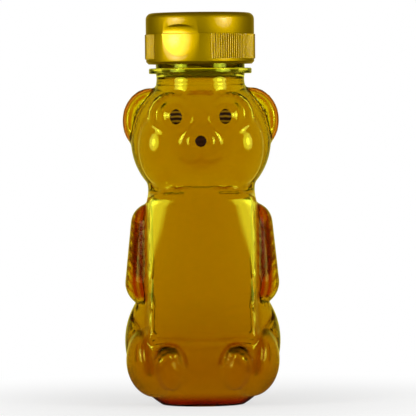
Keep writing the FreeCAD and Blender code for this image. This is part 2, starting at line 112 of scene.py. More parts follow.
def add_node(tree: NodeTree, kind: str, feeds: dict | None = None, **settings) -> Node:
    """Add a shader node.

    Args:
        tree: the tree that gets the node.
        kind: Blender's name of the node type.
        feeds: input name to a plain value, or to the output socket that feeds it.
        settings: attributes of the node itself.

    Returns:
        The new node.
    """
    node = tree.nodes.new(kind)
    for name, value in settings.items():
        setattr(node, name, value)
    for name, value in (feeds or {}).items():
        if isinstance(value, NodeSocket):
            tree.links.new(value, node.inputs[name])
        else:
            node.inputs[name].default_value = value
    return node


def linear(hex_colour: str) -> tuple[float, float, float, float]:
    """Turn an sRGB hex colour such as C8A000 to linear red, green, blue and alpha."""
    channels = []
    for place in (0, 2, 4):
        value = int(hex_colour[place:place + 2], 16) / 255
        channels.append(value / 12.92 if value <= 0.04045 else ((value + 0.055) / 1.055) ** 2.4)
    return (*channels, 1.0)


def per_metre(period_mm: float) -> float:
    """Scale of a pattern whose period is a real size in millimetres."""
    return 1 / (period_mm * MM)


def empty_material(name: str) -> tuple[Material, NodeTree]:
    """Start a node material with nothing in it."""
    material = bpy.data.materials.new(name)
    material.use_nodes = True
    material.node_tree.nodes.clear()
    return material, material.node_tree


@dataclass(frozen=True)
class ClearPet:
    """Blow-moulded clear PET: hard gloss with faint waves where the wall stretched, and a warm tint.

    Painted shade turns the fur, folds, creases, heel and seat a deeper red-brown, and a painted dimming
    darkens the specular tint there and on the panel's sides, soles and thighs, so that the lamps'
    reflections are dimmer.
    """

    tint: str = "EDE532"
    # Red-brown of the painted shade
    painted_shade_tint: str = "A81E00"
    gloss_tint: str = "EEFF30"
    # Specular tint where the lamps' reflections are painted dimmer
    painted_dim_gloss: str = "38200A"
    ior: float = 1.575
    roughness: float = 0.02
    wave_mm: float = 9.0
    wave_depth_mm: float = 0.012

    def material(self) -> Material:
        """Build the material."""
        material, tree = empty_material("blow_moulded_pet")
        place = add_node(tree, "ShaderNodeTexCoord")
        wave = add_node(tree, "ShaderNodeTexNoise", {
            "Vector": place.outputs["Object"], "Scale": per_metre(self.wave_mm), "Detail": 1.0})
        bump = add_node(tree, "ShaderNodeBump", {
            "Height": wave.outputs["Fac"], "Distance": self.wave_depth_mm * MM, "Strength": 1.0})
        # Painted shade and painted dimming of the lamps' reflections, laid by the strokes
        fur = add_node(tree, "ShaderNodeAttribute", attribute_name="fur")
        dull = add_node(tree, "ShaderNodeAttribute", attribute_name="dull")
        tint = add_node(tree, "ShaderNodeMix", {
            "Factor": fur.outputs["Fac"], "A": linear(self.tint), "B": linear(self.painted_shade_tint)},
            data_type="RGBA")
        gloss = add_node(tree, "ShaderNodeMix", {
            "Factor": dull.outputs["Fac"], "A": linear(self.gloss_tint), "B": linear(self.painted_dim_gloss)},
            data_type="RGBA")
        shader = add_node(tree, "ShaderNodeBsdfPrincipled", {
            "Base Color": tint.outputs["Result"], "Roughness": self.roughness, "IOR": self.ior,
            "Transmission Weight": 1.0, "Specular Tint": gloss.outputs["Result"],
            "Normal": bump.outputs["Normal"]})
        add_node(tree, "ShaderNodeOutputMaterial", {"Surface": shader.outputs["BSDF"]})
        return material


@dataclass(frozen=True)
class Honey:
    """Clear runny honey: amber that deepens with thickness, and smooth as glass.

    It bends light less than real honey does, so that the bottle's edges stay light.
    """

    colour: str = "EED94B"
    density_per_metre: float = 110.0
    ior: float = 1.2

    def material(self) -> Material:
        """Build the material."""
        material, tree = empty_material("clear_honey")
        shader = add_node(tree, "ShaderNodeBsdfPrincipled", {
            "Base Color": linear("FFFFFF"), "Roughness": 0.0, "IOR": self.ior,
            "Transmission Weight": 1.0, "Specular Tint": linear("000000")})
        depth = add_node(tree, "ShaderNodeVolumeAbsorption", {
            "Color": linear(self.colour), "Density": self.density_per_metre})
        add_node(tree, "ShaderNodeOutputMaterial", {
            "Surface": shader.outputs["BSDF"], "Volume": depth.outputs["Volume"]})
        return material


@dataclass(frozen=True)
class GoldPolypropylene:
    """Injection-moulded gold polypropylene: flake pigment, fine spark grain and flow marks.

    The thumb recess is polished, so it mirrors the lamps more sharply than the grained wall.
    The spark grain is drawn coarser than the real one, so that it shows.
    """

    colour: str = "BC9C00"
    flow_colour: str = "AE8E00"
    flake_share: float = 1.0
    roughness: float = 0.55
    roughness_spread: float = 0.06
    polished_roughness: float = 0.42
    edge_colour: str = "FFE850"
    surface_share: float = 0.26
    surface_roughness: float = 0.08
    grain_mm: float = 0.35
    grain_depth_mm: float = 0.012
    flow_mm: float = 7.0
    ior: float = 1.49

    def material(self) -> Material:
        """Build the material."""
        material, tree = empty_material("moulded_gold_polypropylene")
        place = add_node(tree, "ShaderNodeTexCoord")
        flow = add_node(tree, "ShaderNodeTexNoise", {
            "Vector": place.outputs["Object"], "Scale": per_metre(self.flow_mm), "Detail": 3.0})
        colour = add_node(tree, "ShaderNodeMix", {
            "Factor": flow.outputs["Fac"], "A": linear(self.colour), "B": linear(self.flow_colour)},
            data_type="RGBA")
        grain = add_node(tree, "ShaderNodeTexNoise", {
            "Vector": place.outputs["Object"], "Scale": per_metre(self.grain_mm), "Detail": 2.0})
        bump = add_node(tree, "ShaderNodeBump", {
            "Height": grain.outputs["Fac"], "Distance": self.grain_depth_mm * MM, "Strength": 0.5})
        gloss = add_node(tree, "ShaderNodeMapRange", {
            "Value": flow.outputs["Fac"], "To Min": self.roughness - self.roughness_spread / 2,
            "To Max": self.roughness + self.roughness_spread / 2})
        polish = add_node(tree, "ShaderNodeAttribute", attribute_name="polish")
        gloss = add_node(tree, "ShaderNodeMapRange", {
            "Value": polish.outputs["Fac"], "To Min": gloss.outputs["Result"],
            "To Max": self.polished_roughness})
        shader = add_node(tree, "ShaderNodeBsdfPrincipled", {
            "Base Color": colour.outputs["Result"], "Roughness": gloss.outputs["Result"], "IOR": self.ior,
            "Metallic": self.flake_share, "Specular Tint": linear(self.edge_colour),
            "Coat Weight": self.surface_share, "Coat IOR": self.ior,
            "Coat Roughness": self.surface_roughness, "Normal": bump.outputs["Normal"]})
        add_node(tree, "ShaderNodeOutputMaterial", {"Surface": shader.outputs["BSDF"]})
        return material


@dataclass(frozen=True)
class BrownPrint:
    """Pad-printed dark brown ink: a thin satin film, with level bands of painted light in a lighter amber
    brown, standing in for the stripes of light seen in the pupils.
    """

    name: str = "pad_printed_banded_ink"
    colour: str = "221204"
    painted_light_colour: str = "7A5806"
    band_mm: float = 1.7
    roughness: float = 0.4
    specular: float = 0.03

    def material(self) -> Material:
        """Build the material."""
        material, tree = empty_material(self.name)
        place = add_node(tree, "ShaderNodeTexCoord")
        bands = add_node(tree, "ShaderNodeTexWave", {
            "Vector": place.outputs["Object"], "Scale": per_metre(self.band_mm) * FULL_TURN / WAVE_PHASE,
            "Distortion": 2.2, "Detail": 2.0}, bands_direction="Z")
        share = add_node(tree, "ShaderNodeMapRange", {
            "Value": bands.outputs["Fac"], "From Min": 0.4, "From Max": 1.0})
        colour = add_node(tree, "ShaderNodeMix", {
            "Factor": share.outputs["Result"], "A": linear(self.colour), "B": linear(self.painted_light_colour)},
            data_type="RGBA")
        shader = add_node(tree, "ShaderNodeBsdfPrincipled", {
            "Base Color": colour.outputs["Result"], "Roughness": self.roughness,
            "Specular IOR Level": self.specular})
        add_node(tree, "ShaderNodeOutputMaterial", {"Surface": shader.outputs["BSDF"]})
        return material


@dataclass(frozen=True)
class WhiteFoam:
    """Expanded polyethylene foam: matt white with closed cells about half a millimetre across."""

    colour: str = "F1EFE8"
    cell_colour: str = "DDD9CE"
    cell_mm: float = 0.5
    cell_depth_mm: float = 0.05
    roughness: float = 0.82

    def material(self) -> Material:
        """Build the material."""
        material, tree = empty_material("expanded_polyethylene_foam")
        place = add_node(tree, "ShaderNodeTexCoord")
        cells = add_node(tree, "ShaderNodeTexVoronoi", {
            "Vector": place.outputs["Object"], "Scale": per_metre(self.cell_mm)})
        colour = add_node(tree, "ShaderNodeMix", {
            "Factor": cells.outputs["Distance"], "A": linear(self.colour), "B": linear(self.cell_colour)},
            data_type="RGBA")
        bump = add_node(tree, "ShaderNodeBump", {
            "Height": cells.outputs["Distance"], "Distance": self.cell_depth_mm * MM})
        shader = add_node(tree, "ShaderNodeBsdfPrincipled", {
            "Base Color": colour.outputs["Result"], "Roughness": self.roughness,
            "Normal": bump.outputs["Normal"]})
        add_node(tree, "ShaderNodeOutputMaterial", {"Surface": shader.outputs["BSDF"]})
        return material


def scratch_object(bm: BMesh, name: str) -> Object:
    """Link a bmesh as an object that modifiers can work on, and free the bmesh."""
    mesh = bpy.data.meshes.new(name)
    bm.to_mesh(mesh)
    bm.free()
    obj = bpy.data.objects.new(name, mesh)
    bpy.context.scene.collection.objects.link(obj)
    return obj


def after_modifiers(obj: Object) -> BMesh:
    """Return an object's mesh with its modifiers applied, and remove the object."""
    bpy.context.view_layer.update()
    bm = bmesh.new()
    bm.from_object(obj, bpy.context.evaluated_depsgraph_get())
    mesh = obj.data
    bpy.data.objects.remove(obj)
    bpy.data.meshes.remove(mesh)
    return bm


def fused(bm: BMesh, voxel: float) -> BMesh:
    """Fuse overlapping closed lobes to one even skin.

    Args:
        bm: the lobes, which are used up.
        voxel: spacing of the new skin's vertices in millimetres.

    Returns:
        The skin, a single closed mesh of quads.
    """
    obj = scratch_object(bm, "lobes")
    skin = obj.modifiers.new("skin", "REMESH")
    skin.mode = "VOXEL"
    skin.voxel_size = voxel
    return after_modifiers(obj)


def carved(bm: BMesh, tool: BMesh) -> BMesh:
    """Take a closed tool away from a closed mesh.

    Args:
        bm: the mesh to carve, which is used up.
        tool: what is taken away, which is used up.

    Returns:
        The carved mesh.
    """
    obj = scratch_object(bm, "blank")
    cutter = scratch_object(tool, "tool")
    cut = obj.modifiers.new("cut", "BOOLEAN")
    cut.operation = "DIFFERENCE"
    cut.solver = "EXACT"
    cut.object = cutter
    result = after_modifiers(obj)
    mesh = cutter.data
    bpy.data.objects.remove(cutter)
    bpy.data.meshes.remove(mesh)
    return result


def turned(profile: list[Pair], steps: int, closed: bool = True) -> BMesh:
    """Spin a profile of radius and height about Z.

    Args:
        profile: corners of the section.
        steps: number of steps of the full turn.
        closed: whether the last corner joins the first.

    Returns:
        The turned surface, its normals outwards.
    """
    bm = bmesh.new()
    corners = [bm.verts.new((radius, 0, height)) for radius, height in profile]
    runs = list(zip(corners, corners[1:]))
    if closed:
        runs.append((corners[-1], corners[0]))
    edges = [bm.edges.new(run) for run in runs]
    bmesh.ops.spin(bm, geom=corners + edges, cent=(0, 0, 0), axis=UP, angle=FULL_TURN, steps=steps,
                   use_merge=True)
    bmesh.ops.remove_doubles(bm, verts=bm.verts, dist=MERGE)
    bmesh.ops.recalc_face_normals(bm, faces=bm.faces)
    return bm


def ring_edges(bm: BMesh, radius: float, height: float) -> list[BMEdge]:
    """Find the edges of a round ring about Z, by its radius and height."""
    near = 1e-3
    return [edge for edge in bm.edges
            if all(abs(math.hypot(v.co.x, v.co.y) - radius) < near and abs(v.co.z - height) < near
                   for v in edge.verts)]


def rim_edges(bm: BMesh, radii: Pair, height: float) -> list[BMEdge]:
    """Find the edges of an open rim about Z, by the range of its radius and its height."""
    near = 0.05
    return [edge for edge in bm.edges if edge.is_boundary
            and all(radii[0] < math.hypot(v.co.x, v.co.y) < radii[1] and abs(v.co.z - height) < near
                    for v in edge.verts)]


def bridged(bm: BMesh, radii: Pair, low: float, high: float) -> None:
    """Join two open rims of like radius at two heights."""
    bmesh.ops.bridge_loops(bm, edges=rim_edges(bm, radii, low) + rim_edges(bm, radii, high))


def rounded(bm: BMesh, edges: list[BMEdge], radius: float, segments: int = 3) -> None:
    """Round some edges of a mesh."""
    bmesh.ops.bevel(bm, geom=edges, offset=radius, offset_type="OFFSET", affect="EDGES",
                    segments=segments, profile=0.5, material=-1, clamp_overlap=True)


def positions(bm: BMesh) -> np.ndarray:
    """Return the vertices' places as an array with one row each."""
    return np.array([v.co for v in bm.verts])


def directions(bm: BMesh) -> np.ndarray:
    """Return the vertices' normals as an array with one row each."""
    bm.normal_update()
    return np.array([v.normal for v in bm.verts])


def place_all(bm: BMesh, places: np.ndarray) -> None:
    """Move every vertex to its row of an array."""
    for vertex, place in zip(bm.verts, places):
        vertex.co = place
    bm.normal_update()


def smoothed(bm: BMesh, rounds: int, verts: list[BMVert] | None = None) -> None:
    """Even out a skin by moving its vertices halfway to their neighbours' middle, several times.

    Args:
        bm: the skin.
        rounds: how many times.
        verts: the vertices that move, or None for all.
    """
    for _ in range(rounds):
        bmesh.ops.smooth_vert(bm, verts=verts or bm.verts, factor=0.5,
                              use_axis_x=True, use_axis_y=True, use_axis_z=True)


def appended(bm: BMesh, other: BMesh) -> None:
    """Add a copy of another mesh to a mesh, and free the other."""
    mesh = bpy.data.meshes.new("appended")
    other.to_mesh(mesh)
    other.free()
    bm.from_mesh(mesh)
    bpy.data.meshes.remove(mesh)


def finished(name: str, bm: BMesh, material: Material, body: Body | None, node: str,
             sharp_degrees: float = 40) -> Object:
    """Turn a mesh in millimetres into a piece of the frame.

    Args:
        name: name of the new object.
        bm: the mesh, which is used up.
        material: its finish.
        body: the body it rides on, or None to leave it unattached.
        node: the node of the frame that it stands for.
        sharp_degrees: edges that turn by more than this stay sharp.

    Returns:
        The object, at the origin.
    """
    bmesh.ops.scale(bm, vec=Vector((MM, MM, MM)), verts=bm.verts)
    obj = scratch_object(bm, name)
    obj.data.materials.append(material)
    obj.data.shade_smooth()
    obj.data.set_sharp_from_angle(angle=math.radians(sharp_degrees))
    if body is not None:
        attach(obj, body.value)
    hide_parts(node)
    log.info("%s: %d faces", name, len(obj.data.polygons))
    return obj


@dataclass(frozen=True)
class Lobe:
    """An ellipsoid swelling of the bear, mirrored if it is one of a pair."""

    half: Triple
    centre: Triple
    paired: bool = False
    splay_degrees: float = 0.0
    yaw_degrees: float = 0.0

    def add_to(self, bm: BMesh) -> None:
        """Add the lobe, and its mirror image if it is one of a pair."""
        x, y, z = self.centre
        for sign in (-1, 1) if self.paired else (1,):
            splay = Matrix.Rotation(sign * math.radians(self.splay_degrees), 4, "Y")
            yaw = Matrix.Rotation(sign * math.radians(self.yaw_degrees), 4, "Z")
            place = Matrix.Translation((sign * x, y, z)) @ yaw @ splay @ Matrix.Diagonal((*self.half, 1))
            bmesh.ops.create_icosphere(bm, subdivisions=5, radius=1, matrix=place)


@dataclass(frozen=True)
class Stroke:
    """A groove or ridge along a run of points on the skin.

    A negative depth stands out. The tone is painted shade, and the dullness a painted dimming of the lamps'
    reflections; a negative tone clears both from other strokes.
    """

    points: tuple[Triple, ...]
    width: float
    depth: float
    tone: float = 0.0
    dull: float = 0.0

    def weight(self, places: np.ndarray) -> np.ndarray:
        """Return how far each place is in the stroke, from 0 outside to 1 on its line."""
        line = np.array(self.points)
        reach = 3 * self.width
        near = np.all((places > line.min(axis=0) - reach) & (places < line.max(axis=0) + reach), axis=1)
        close = places[near]
        nearest = np.full(len(close), np.inf)
        for start, end in zip(line, line[1:]):
            along = end - start
            share = np.clip((close - start) @ along / (along @ along), 0, 1)
            gap = np.linalg.norm(close - start - share[:, None] * along, axis=1)
            nearest = np.minimum(nearest, gap)
        weight = np.zeros(len(places))
        weight[near] = np.exp(-(nearest / self.width) ** 2)
        return weight


def oval(middle: Pair, half: Pair, start: float = 0, end: float = 360, steps: int = 24) -> tuple[Pair, ...]:
    """Return points along an oval arc.

    Args:
        middle: the oval's middle.
        half: its half width and half height.
        start: angle of the first point in degrees.
        end: angle of the last point in degrees.
        steps: number of steps from the first to the last.

    Returns:
        The points.
    """
    turns = [math.radians(start + (end - start) * step / steps) for step in range(steps + 1)]
    return tuple((middle[0] + half[0] * math.cos(turn), middle[1] + half[1] * math.sin(turn))
                 for turn in turns)


@dataclass(frozen=True)
class Line:
    """A stroke drawn by points of X and Z, as seen from the front."""

    points: tuple[Pair, ...]
    width: float
    depth: float
    # Painted shade, and painted dimming of the lamps' reflections
    tone: float = 0.0
    dull: float = 0.0
    behind: bool = False

    def laid(self, skin: BVHTree, sign: int) -> Stroke:
        """Lay the line on the front of the skin, or on its back.

        Args:
            skin: the smoothed skin.
            sign: 1 as drawn, or -1 for its mirror image.

        Returns:
            The stroke.
        """
        ahead = Vector((0, -1 if self.behind else 1, 0))
        hits = [skin.ray_cast(Vector((sign * x, 0, z)) - FAR * ahead, ahead)[0] for x, z in self.points]
        return Stroke(tuple(tuple(hit) for hit in hits), self.width, self.depth, self.tone, self.dull)


@dataclass
class BearSkin:
    """The bear below its neck: lobes fused to one skin, then smoothed and carved."""

    voxel: float = 0.7
    fusing_rounds: int = 2
    smoothing_rounds: int = 2
    hips: Lobe = Lobe((29.2, 22.8, 28.2), (0, 1.7, 24.0))
    trunk: Lobe = Lobe((24.6, 19.6, 28.0), (0, 0, 56.0))
    collar: Lobe = Lobe((20.0, 18.6, 30.0), (0, 0, 81.0))
    chest: Lobe = Lobe((18.5, 6.0, 8.2), (0, -14.6, 75.6))
    head: Lobe = Lobe((26.2, 21.4, 25.0), (0, 0, 99.0))
    face: Lobe = Lobe((21.5, 9.0, 18.0), (0, -13.4, 99.5))
    snout: Lobe = Lobe((8.0, 4.0, 8.0), (0, -20.5, 98.0))
    chin: Lobe = Lobe((17.0, 5.5, 8.5), (0, -14.4, 89.0))
    thigh: Lobe = Lobe((11.0, 13.0, 14.0), (17.6, -8.6, 17.5), True)
    sole: Lobe = Lobe((5.7, 7.5, 8.9), (12.6, -17.7, 15.2), True, 14.0)
    ear: Lobe = Lobe((10.8, 5.0, 12.4), (18.6, 1.5, 106.4), True)
    cheek: Lobe = Lobe((11.0, 10.0, 15.5), (12.3, -11.5, 96.5), True)
    shoulder: Lobe = Lobe((7.9, 7.9, 7.9), (18.6, -3.5, 68.0), True)
    paw: Lobe = Lobe((9.0, 9.0, 9.0), (19.8, -3.5, 46.0), True)
    brow: Lobe = Lobe((9.0, 4.5, 9.6), (11.0, -16.3, 107.6), True, 0.0, 4.0)
    eye: Lobe = Lobe((6.6, 6.6, 6.6), (9.1, -15.8, 107.9), True)
    panel_half: Triple = (20.3, 21.6, 27.75)
    panel_height: float = 51.25
    panel_corner: float = 0.9
    panel_edge: float = 3.0
    panel_sag_foot: float = 0.4
    panel_sag_top: float = 5.6
    panel_foot_bow: float = 1.5
    # Places that are smoothed further: the chest under the chin and the panel's lower front corners
    chest_band: Pair = (75.5, 84.5)
    chest_rounds: int = 8
    corner_band: Pair = (27.0, 49.0)
    corner_reach: float = 4.0
    corner_front: float = -12.0
    corner_rounds: int = 14
    push_up_radius: float = 9.5
    push_up_depth: float = 3.0
    neck_radius: float = 16.6
    neck_cut: float = 119.4
    neck_overrun: float = 4.0
    # Ears: the dish starts at a share of the head's outline and deepens by a slope beyond it
    ear_rim: float = 2.5
    ear_wall: float = 0.25
    ear_front_dish: float = 3.9
    ear_back_dish: float = 2.4
    dish_start: float = 0.95
    dish_slope: float = 16.0
    dish_facing: float = 0.2
    # Fur of the arms, with angles round the arm in degrees, outwards from straight ahead; its dark red-brown
    # is painted shade
    fur_rows: int = 9
    fur_pitch: float = 3.7
    fur_foot: float = 41.5
    fur_lean: float = 16.0
    fur_width: float = 0.85
    fur_depth: float = 0.06
    painted_shade_turns: Pair = (17.0, 36.0)
    painted_shade_width: float = 2.3
    lock_roots: Pair = (14.0, 40.0)
    lock_sweeps: Pair = (-24.0, 26.0)
    lock_stagger: float = 1.6
    lock_ends: Pair = (-1.2, 1.6)
    sway_steps: Pair = (5.1, 2.3)
    sway_rise: float = 0.6
    sway_sweep: float = 6.0
    # Painted shade round the heel of the base, and fainter painted shade on the seat, darker towards the
    # bottom
    heel_half: Pair = (18.0, 14.0)
    heel_width: float = 4.6
    heel_height: float = 1.2
    seat_half: float = 14.0
    seat_height: float = 6.0
    seat_width: float = 30.0
    seat_tone: float = 0.34
    # Rings round the eyes and on the snout
    ridge_width: float = 1.5
    eye_ring: float = 5.9
    eye_ring_shift: Pair = (0.8, 0.6)
    eye_ridge: float = 0.95
    snout_ring: float = 4.3
    snout_ring_middle: Pair = (0.0, 98.5)
    snout_ridge: float = 0.45
    # Lines across the middle: points of X and Z, then width, depth, tone and dullness; the tone is painted
    # shade in the philtrum, forehead crease and neck fold
    philtrum: Line = Line(((0, 94.2), (0, 93.2), (0, 92.1)), 0.6, 0.4, 0.25)
    forehead_crease: Line = Line(((-4.2, 116.6), (0, 116.9), (4.2, 116.6)), 0.7, 0.6, 1.0)
    neck_fold: Line = Line(((-18.4, 81.9), (-9.0, 81.6), (9.0, 81.6), (18.4, 81.9)), 0.5, 0.3, 0.8)
    panel_foot: Line = Line(((-16.0, 25.4), (0, 24.8), (16.0, 25.4)), 0.8, -0.35)
    # Lines of each side, drawn on the viewer's right; the tone is painted shade in the mouth, thigh crease
    # and thigh, and the dullness paints the lamps' reflections dimmer
    mouth: Line = Line(((0, 92.1), (2.6, 91.1), (5.0, 90.9), (7.6, 92.5)), 0.65, 0.5, 0.25)
    muzzle_side: Line = Line(((11.5, 97.0), (11.2, 93.0)), 0.5, 0.4)
    # Painted dimming of the lamps' reflection along the panel's lower side corner
    panel_side: Line = Line(((19.9, 49.0), (19.9, 36.0), (19.9, 25.0)), 2.0, 0.0, 0.0, 1.0)
    thigh_crease: Line = Line(((26.3, 34.0), (23.0, 29.0), (19.8, 23.6), (18.9, 20.0)), 1.0, 0.45, 0.5)
    waist: Line = Line(((19.0, 37.6), (14.0, 37.2), (8.0, 36.2)), 0.7, -0.32)
    fold_lip: Line = Line(((6.8, 80.2), (13.4, 80.0)), 0.9, -0.5)
    # Painted dimming of the lamps' reflections on the soles and thighs, and painted shade on the thigh
    sole_dull: Line = Line(((12.6, 21.5), (12.6, 10.0)), 5.0, 0.0, 0.0, 1.0)
    thigh_shade: Line = Line(((21.6, 25.0), (20.6, 20.0), (20.2, 14.0)), 2.3, 0.0, 0.7)
    thigh_dull: Line = Line(((24.0, 25.0), (23.4, 12.0)), 3.0, 0.0, 0.0, 0.95)
    # Brow tufts: a fan of short lines, from an angle in steps, in degrees
    tuft_count: int = 6
    tuft_start: float = -34.0
    tuft_step: float = 14.0
    tuft_reach: Pair = (6.6, 8.6)
    # Painted shade on the ears' rim, from an angle to another, in degrees
    rim_inset: float = 0.75
    rim_arc: Pair = (-44.0, 99.0)
    rim_width: float = 1.2
    # Soles: the outline's growth and arc, the arch of painted shade on top, and the toes
    sole_growth: Pair = (0.7, -0.2)
    sole_arc: Pair = (-12.0, 172.0)
    arch_start: Pair = (8.6, 20.6)
    arch_step: float = 1.4
    arch_fall: float = 0.16
    toes: tuple[Pair, ...] = ((10.2, 20.4), (12.4, 20.2), (14.4, 19.4), (15.6, 17.6))
    toe_half: float = 0.35
    # Locks of fur on the thighs, shallow grooves with painted shade
    thigh_locks: int = 3
    thigh_lock_start: Pair = (20.4, 22.0)
    thigh_lock_step: Pair = (2.0, -0.6)

    def panel_block(self) -> BMesh:
        """Return the block of the front and back panels, rounder at the chest than at the foot."""
        half_x, half_y, half_z = self.panel_half
        bm = bmesh.new()
        place = Matrix.Translation((0, 0, self.panel_height)) @ Matrix.Diagonal((*self.panel_half, 1))
        bmesh.ops.create_cube(bm, size=2, matrix=place)
        upright = [edge for edge in bm.edges if abs(edge.verts[0].co.z - edge.verts[1].co.z) > half_z]
        rounded(bm, upright, self.panel_corner, 6)
        bm.normal_update()
        ends = {edge for face in bm.faces if abs(face.normal.z) > 0.9 for edge in face.edges}
        rounded(bm, list(ends), self.panel_edge, 5)
        bm = fused(bm, self.voxel)
        places = positions(bm)
        height = (places[:, 2] - self.panel_height + half_z) / (2 * half_z)
        across = (places[:, 0] / half_x) ** 2
        sag = self.panel_sag_foot + (self.panel_sag_top - self.panel_sag_foot) * height
        places[:, 1] *= 1 - sag / half_y * across
        places[:, 2] += self.panel_foot_bow * across * (1 - height) ** 3
        place_all(bm, places)
        return bm

    def add_arms(self, bm: BMesh) -> None:
        """Add the arms: a round paw that tapers up to a smaller round shoulder."""
        self.shoulder.add_to(bm)
        self.paw.add_to(bm)
        for side in Side:
            low, high = (Vector((side.value * x, y, z))
                         for x, y, z in (self.paw.centre, self.shoulder.centre))
            along = high - low
            aim = along.to_track_quat("Z", "X").to_matrix().to_4x4()
            place = Matrix.Translation((low + high) / 2) @ aim
            bmesh.ops.create_cone(bm, cap_ends=True, segments=64, radius1=self.paw.half[0],
                                  radius2=self.shoulder.half[0], depth=along.length, matrix=place)

    def add_neck(self, bm: BMesh) -> None:
        """Add a plain post for the neck, from inside the head to above the cut."""
        foot = self.head.centre[2]
        depth = self.neck_cut + self.neck_overrun - foot
        place = Matrix.Translation((0, 0, foot + depth / 2))
        bmesh.ops.create_cone(bm, cap_ends=True, segments=96, radius1=self.neck_radius,
                              radius2=self.neck_radius, depth=depth, matrix=place)

    def dish_ears(self, places: np.ndarray, normals: np.ndarray) -> None:
        """Hollow the ears in front and behind, inside a rim."""
        half_x, half_y, half_z = self.ear.half
        x, y, z = self.ear.centre
        reach = np.hypot((np.abs(places[:, 0]) - x) / (half_x - self.ear_rim),
                         (places[:, 2] - z) / (half_z - self.ear_rim))
        head_x, _, head_z = self.head.half
        beside_head = np.hypot(places[:, 0] / head_x, (places[:, 2] - self.head.centre[2]) / head_z)
        share = np.clip((1 - reach) / self.ear_wall, 0, 1)
        share *= np.clip((beside_head - self.dish_start) * self.dish_slope, 0, 1)
        share *= np.abs(places[:, 1] - y) < half_y + 1
        front = normals[:, 1] < -self.dish_facing
        back = normals[:, 1] > self.dish_facing
        places[front, 1] += self.ear_front_dish * share[front]
        places[back, 1] -= self.ear_back_dish * share[back]

    def seat_base(self, places: np.ndarray) -> None:
        """Flatten the base to stand on, and raise the push-up in its middle."""
        places[:, 2] = np.maximum(places[:, 2], 0)
        dome = (self.push_up_radius ** 2 + self.push_up_depth ** 2) / (2 * self.push_up_depth)
        radius = np.hypot(places[:, 0], places[:, 1] - self.hips.centre[1])
        under = (places[:, 2] < 1e-6) & (radius < self.push_up_radius)
        places[under, 2] = np.sqrt(dome ** 2 - radius[under] ** 2) - (dome - self.push_up_depth)

    def arm_point(self, side: Side, turn_degrees: float, height: float) -> Triple:
        """Return a point on an arm's skin.

        Args:
            side: which arm.
            turn_degrees: angle round the arm from straight ahead, outwards.
            height: height of the point.

        Returns:
            The point, in millimetres.
        """
        x, y, low = self.paw.centre
        shoulder_x, _, high = self.shoulder.centre
        share = min(max((height - low) / (high - low), 0), 1)
        x += (shoulder_x - x) * share
        radius = self.paw.half[0] + (self.shoulder.half[0] - self.paw.half[0]) * share
        overrun = max(low - height, height - high, 0)
        radius = math.sqrt(max(radius ** 2 - overrun ** 2, 0.5))
        turn = math.radians(turn_degrees)
        return (side.value * (x + radius * math.sin(turn)), y - radius * math.cos(turn), height)

    def fur_lock(self, side: Side, row: int, column: int) -> Stroke:
        """Return one lock of an arm's fur, a shallow groove with painted shade, which sways from row to row.

        Args:
            side: which arm.
            row: its row, from the paw upwards.
            column: 0 for the locks that sweep inwards, 1 for those that sweep outwards.

        Returns:
            The lock.
        """
        row_step, column_step = self.sway_steps
        sway = math.sin(row_step * row + column_step * column + side.value)
        rise = self.fur_foot + self.fur_pitch * row + self.sway_rise * sway + self.lock_stagger * column
        root = self.fur_lean * row / self.fur_rows + self.lock_roots[column]
        tip = root + self.lock_sweeps[column] + self.sway_sweep * sway
        low, high = self.lock_ends
        points = (self.arm_point(side, root, rise + low), self.arm_point(side, tip, rise + high))
        return Stroke(points, self.fur_width, self.fur_depth, 1.0)

    def fur_and_shade_strokes(self) -> list[Stroke]:
        """Lay the fur of both arms: bands of painted shade, with uneven locks of painted shade that sweep to
        both sides.
        """
        strokes = []
        rows = range(self.fur_rows + 1)
        for side in Side:
            # Bands of painted shade, with no depth, run up each arm
            for turn in self.painted_shade_turns:
                painted_shade_band = tuple(self.arm_point(side, turn + self.fur_lean * row / self.fur_rows,
                                            self.fur_foot + self.fur_pitch * row) for row in rows)
                strokes.append(Stroke(painted_shade_band, self.painted_shade_width, 0.0, 1.0))
            strokes += [self.fur_lock(side, row, column) for row in rows for column in (0, 1)]
        return strokes

    def painted_base_shade_strokes(self) -> list[Stroke]:
        """Return the painted shade round the heel of the base, and the fainter painted shade of the seat,
        which fades upwards.
        """
        ring = oval((0, self.hips.centre[1]), self.heel_half)
        heel = Stroke(tuple((x, y, self.heel_height) for x, y in ring), self.heel_width, 0.0, 1.0)
        ends = ((-self.seat_half, 0, self.seat_height), (self.seat_half, 0, self.seat_height))
        return [heel, Stroke(ends, self.seat_width, 0.0, self.seat_tone)]

    def face_lines(self) -> list[Line]:
        """Return the lines of one side of the face: mouth, muzzle, eye ring, brow tufts and ear rim; the
        mouth and tufts hold painted shade, and the ear rim is painted shade only.
        """
        eye_x, _, eye_z = self.eye.centre
        shift_x, shift_z = self.eye_ring_shift
        ring = oval((eye_x + shift_x, eye_z + shift_z), (self.eye_ring, self.eye_ring))
        lines = [self.mouth, self.muzzle_side, Line(ring, self.ridge_width, -self.eye_ridge)]
        brow_x, _, brow_z = self.brow.centre
        for tuft in range(self.tuft_count):
            lean = math.radians(self.tuft_start + self.tuft_step * tuft)
            ends = tuple((brow_x + reach * math.sin(lean), brow_z + reach * math.cos(lean))
                         for reach in self.tuft_reach)
            # Each tuft is a short groove with painted shade
            lines.append(Line(ends, 0.45, 0.5, 0.6))
        ear_x, _, ear_z = self.ear.centre
        half_x, _, half_z = self.ear.half
        rim = oval((ear_x, ear_z), (half_x - self.rim_inset, half_z - self.rim_inset), *self.rim_arc, 12)
        # The ear rim is painted shade only, on the front and on the back
        return lines + [Line(rim, self.rim_width, 0.0, 1.0, behind=behind) for behind in (False, True)]

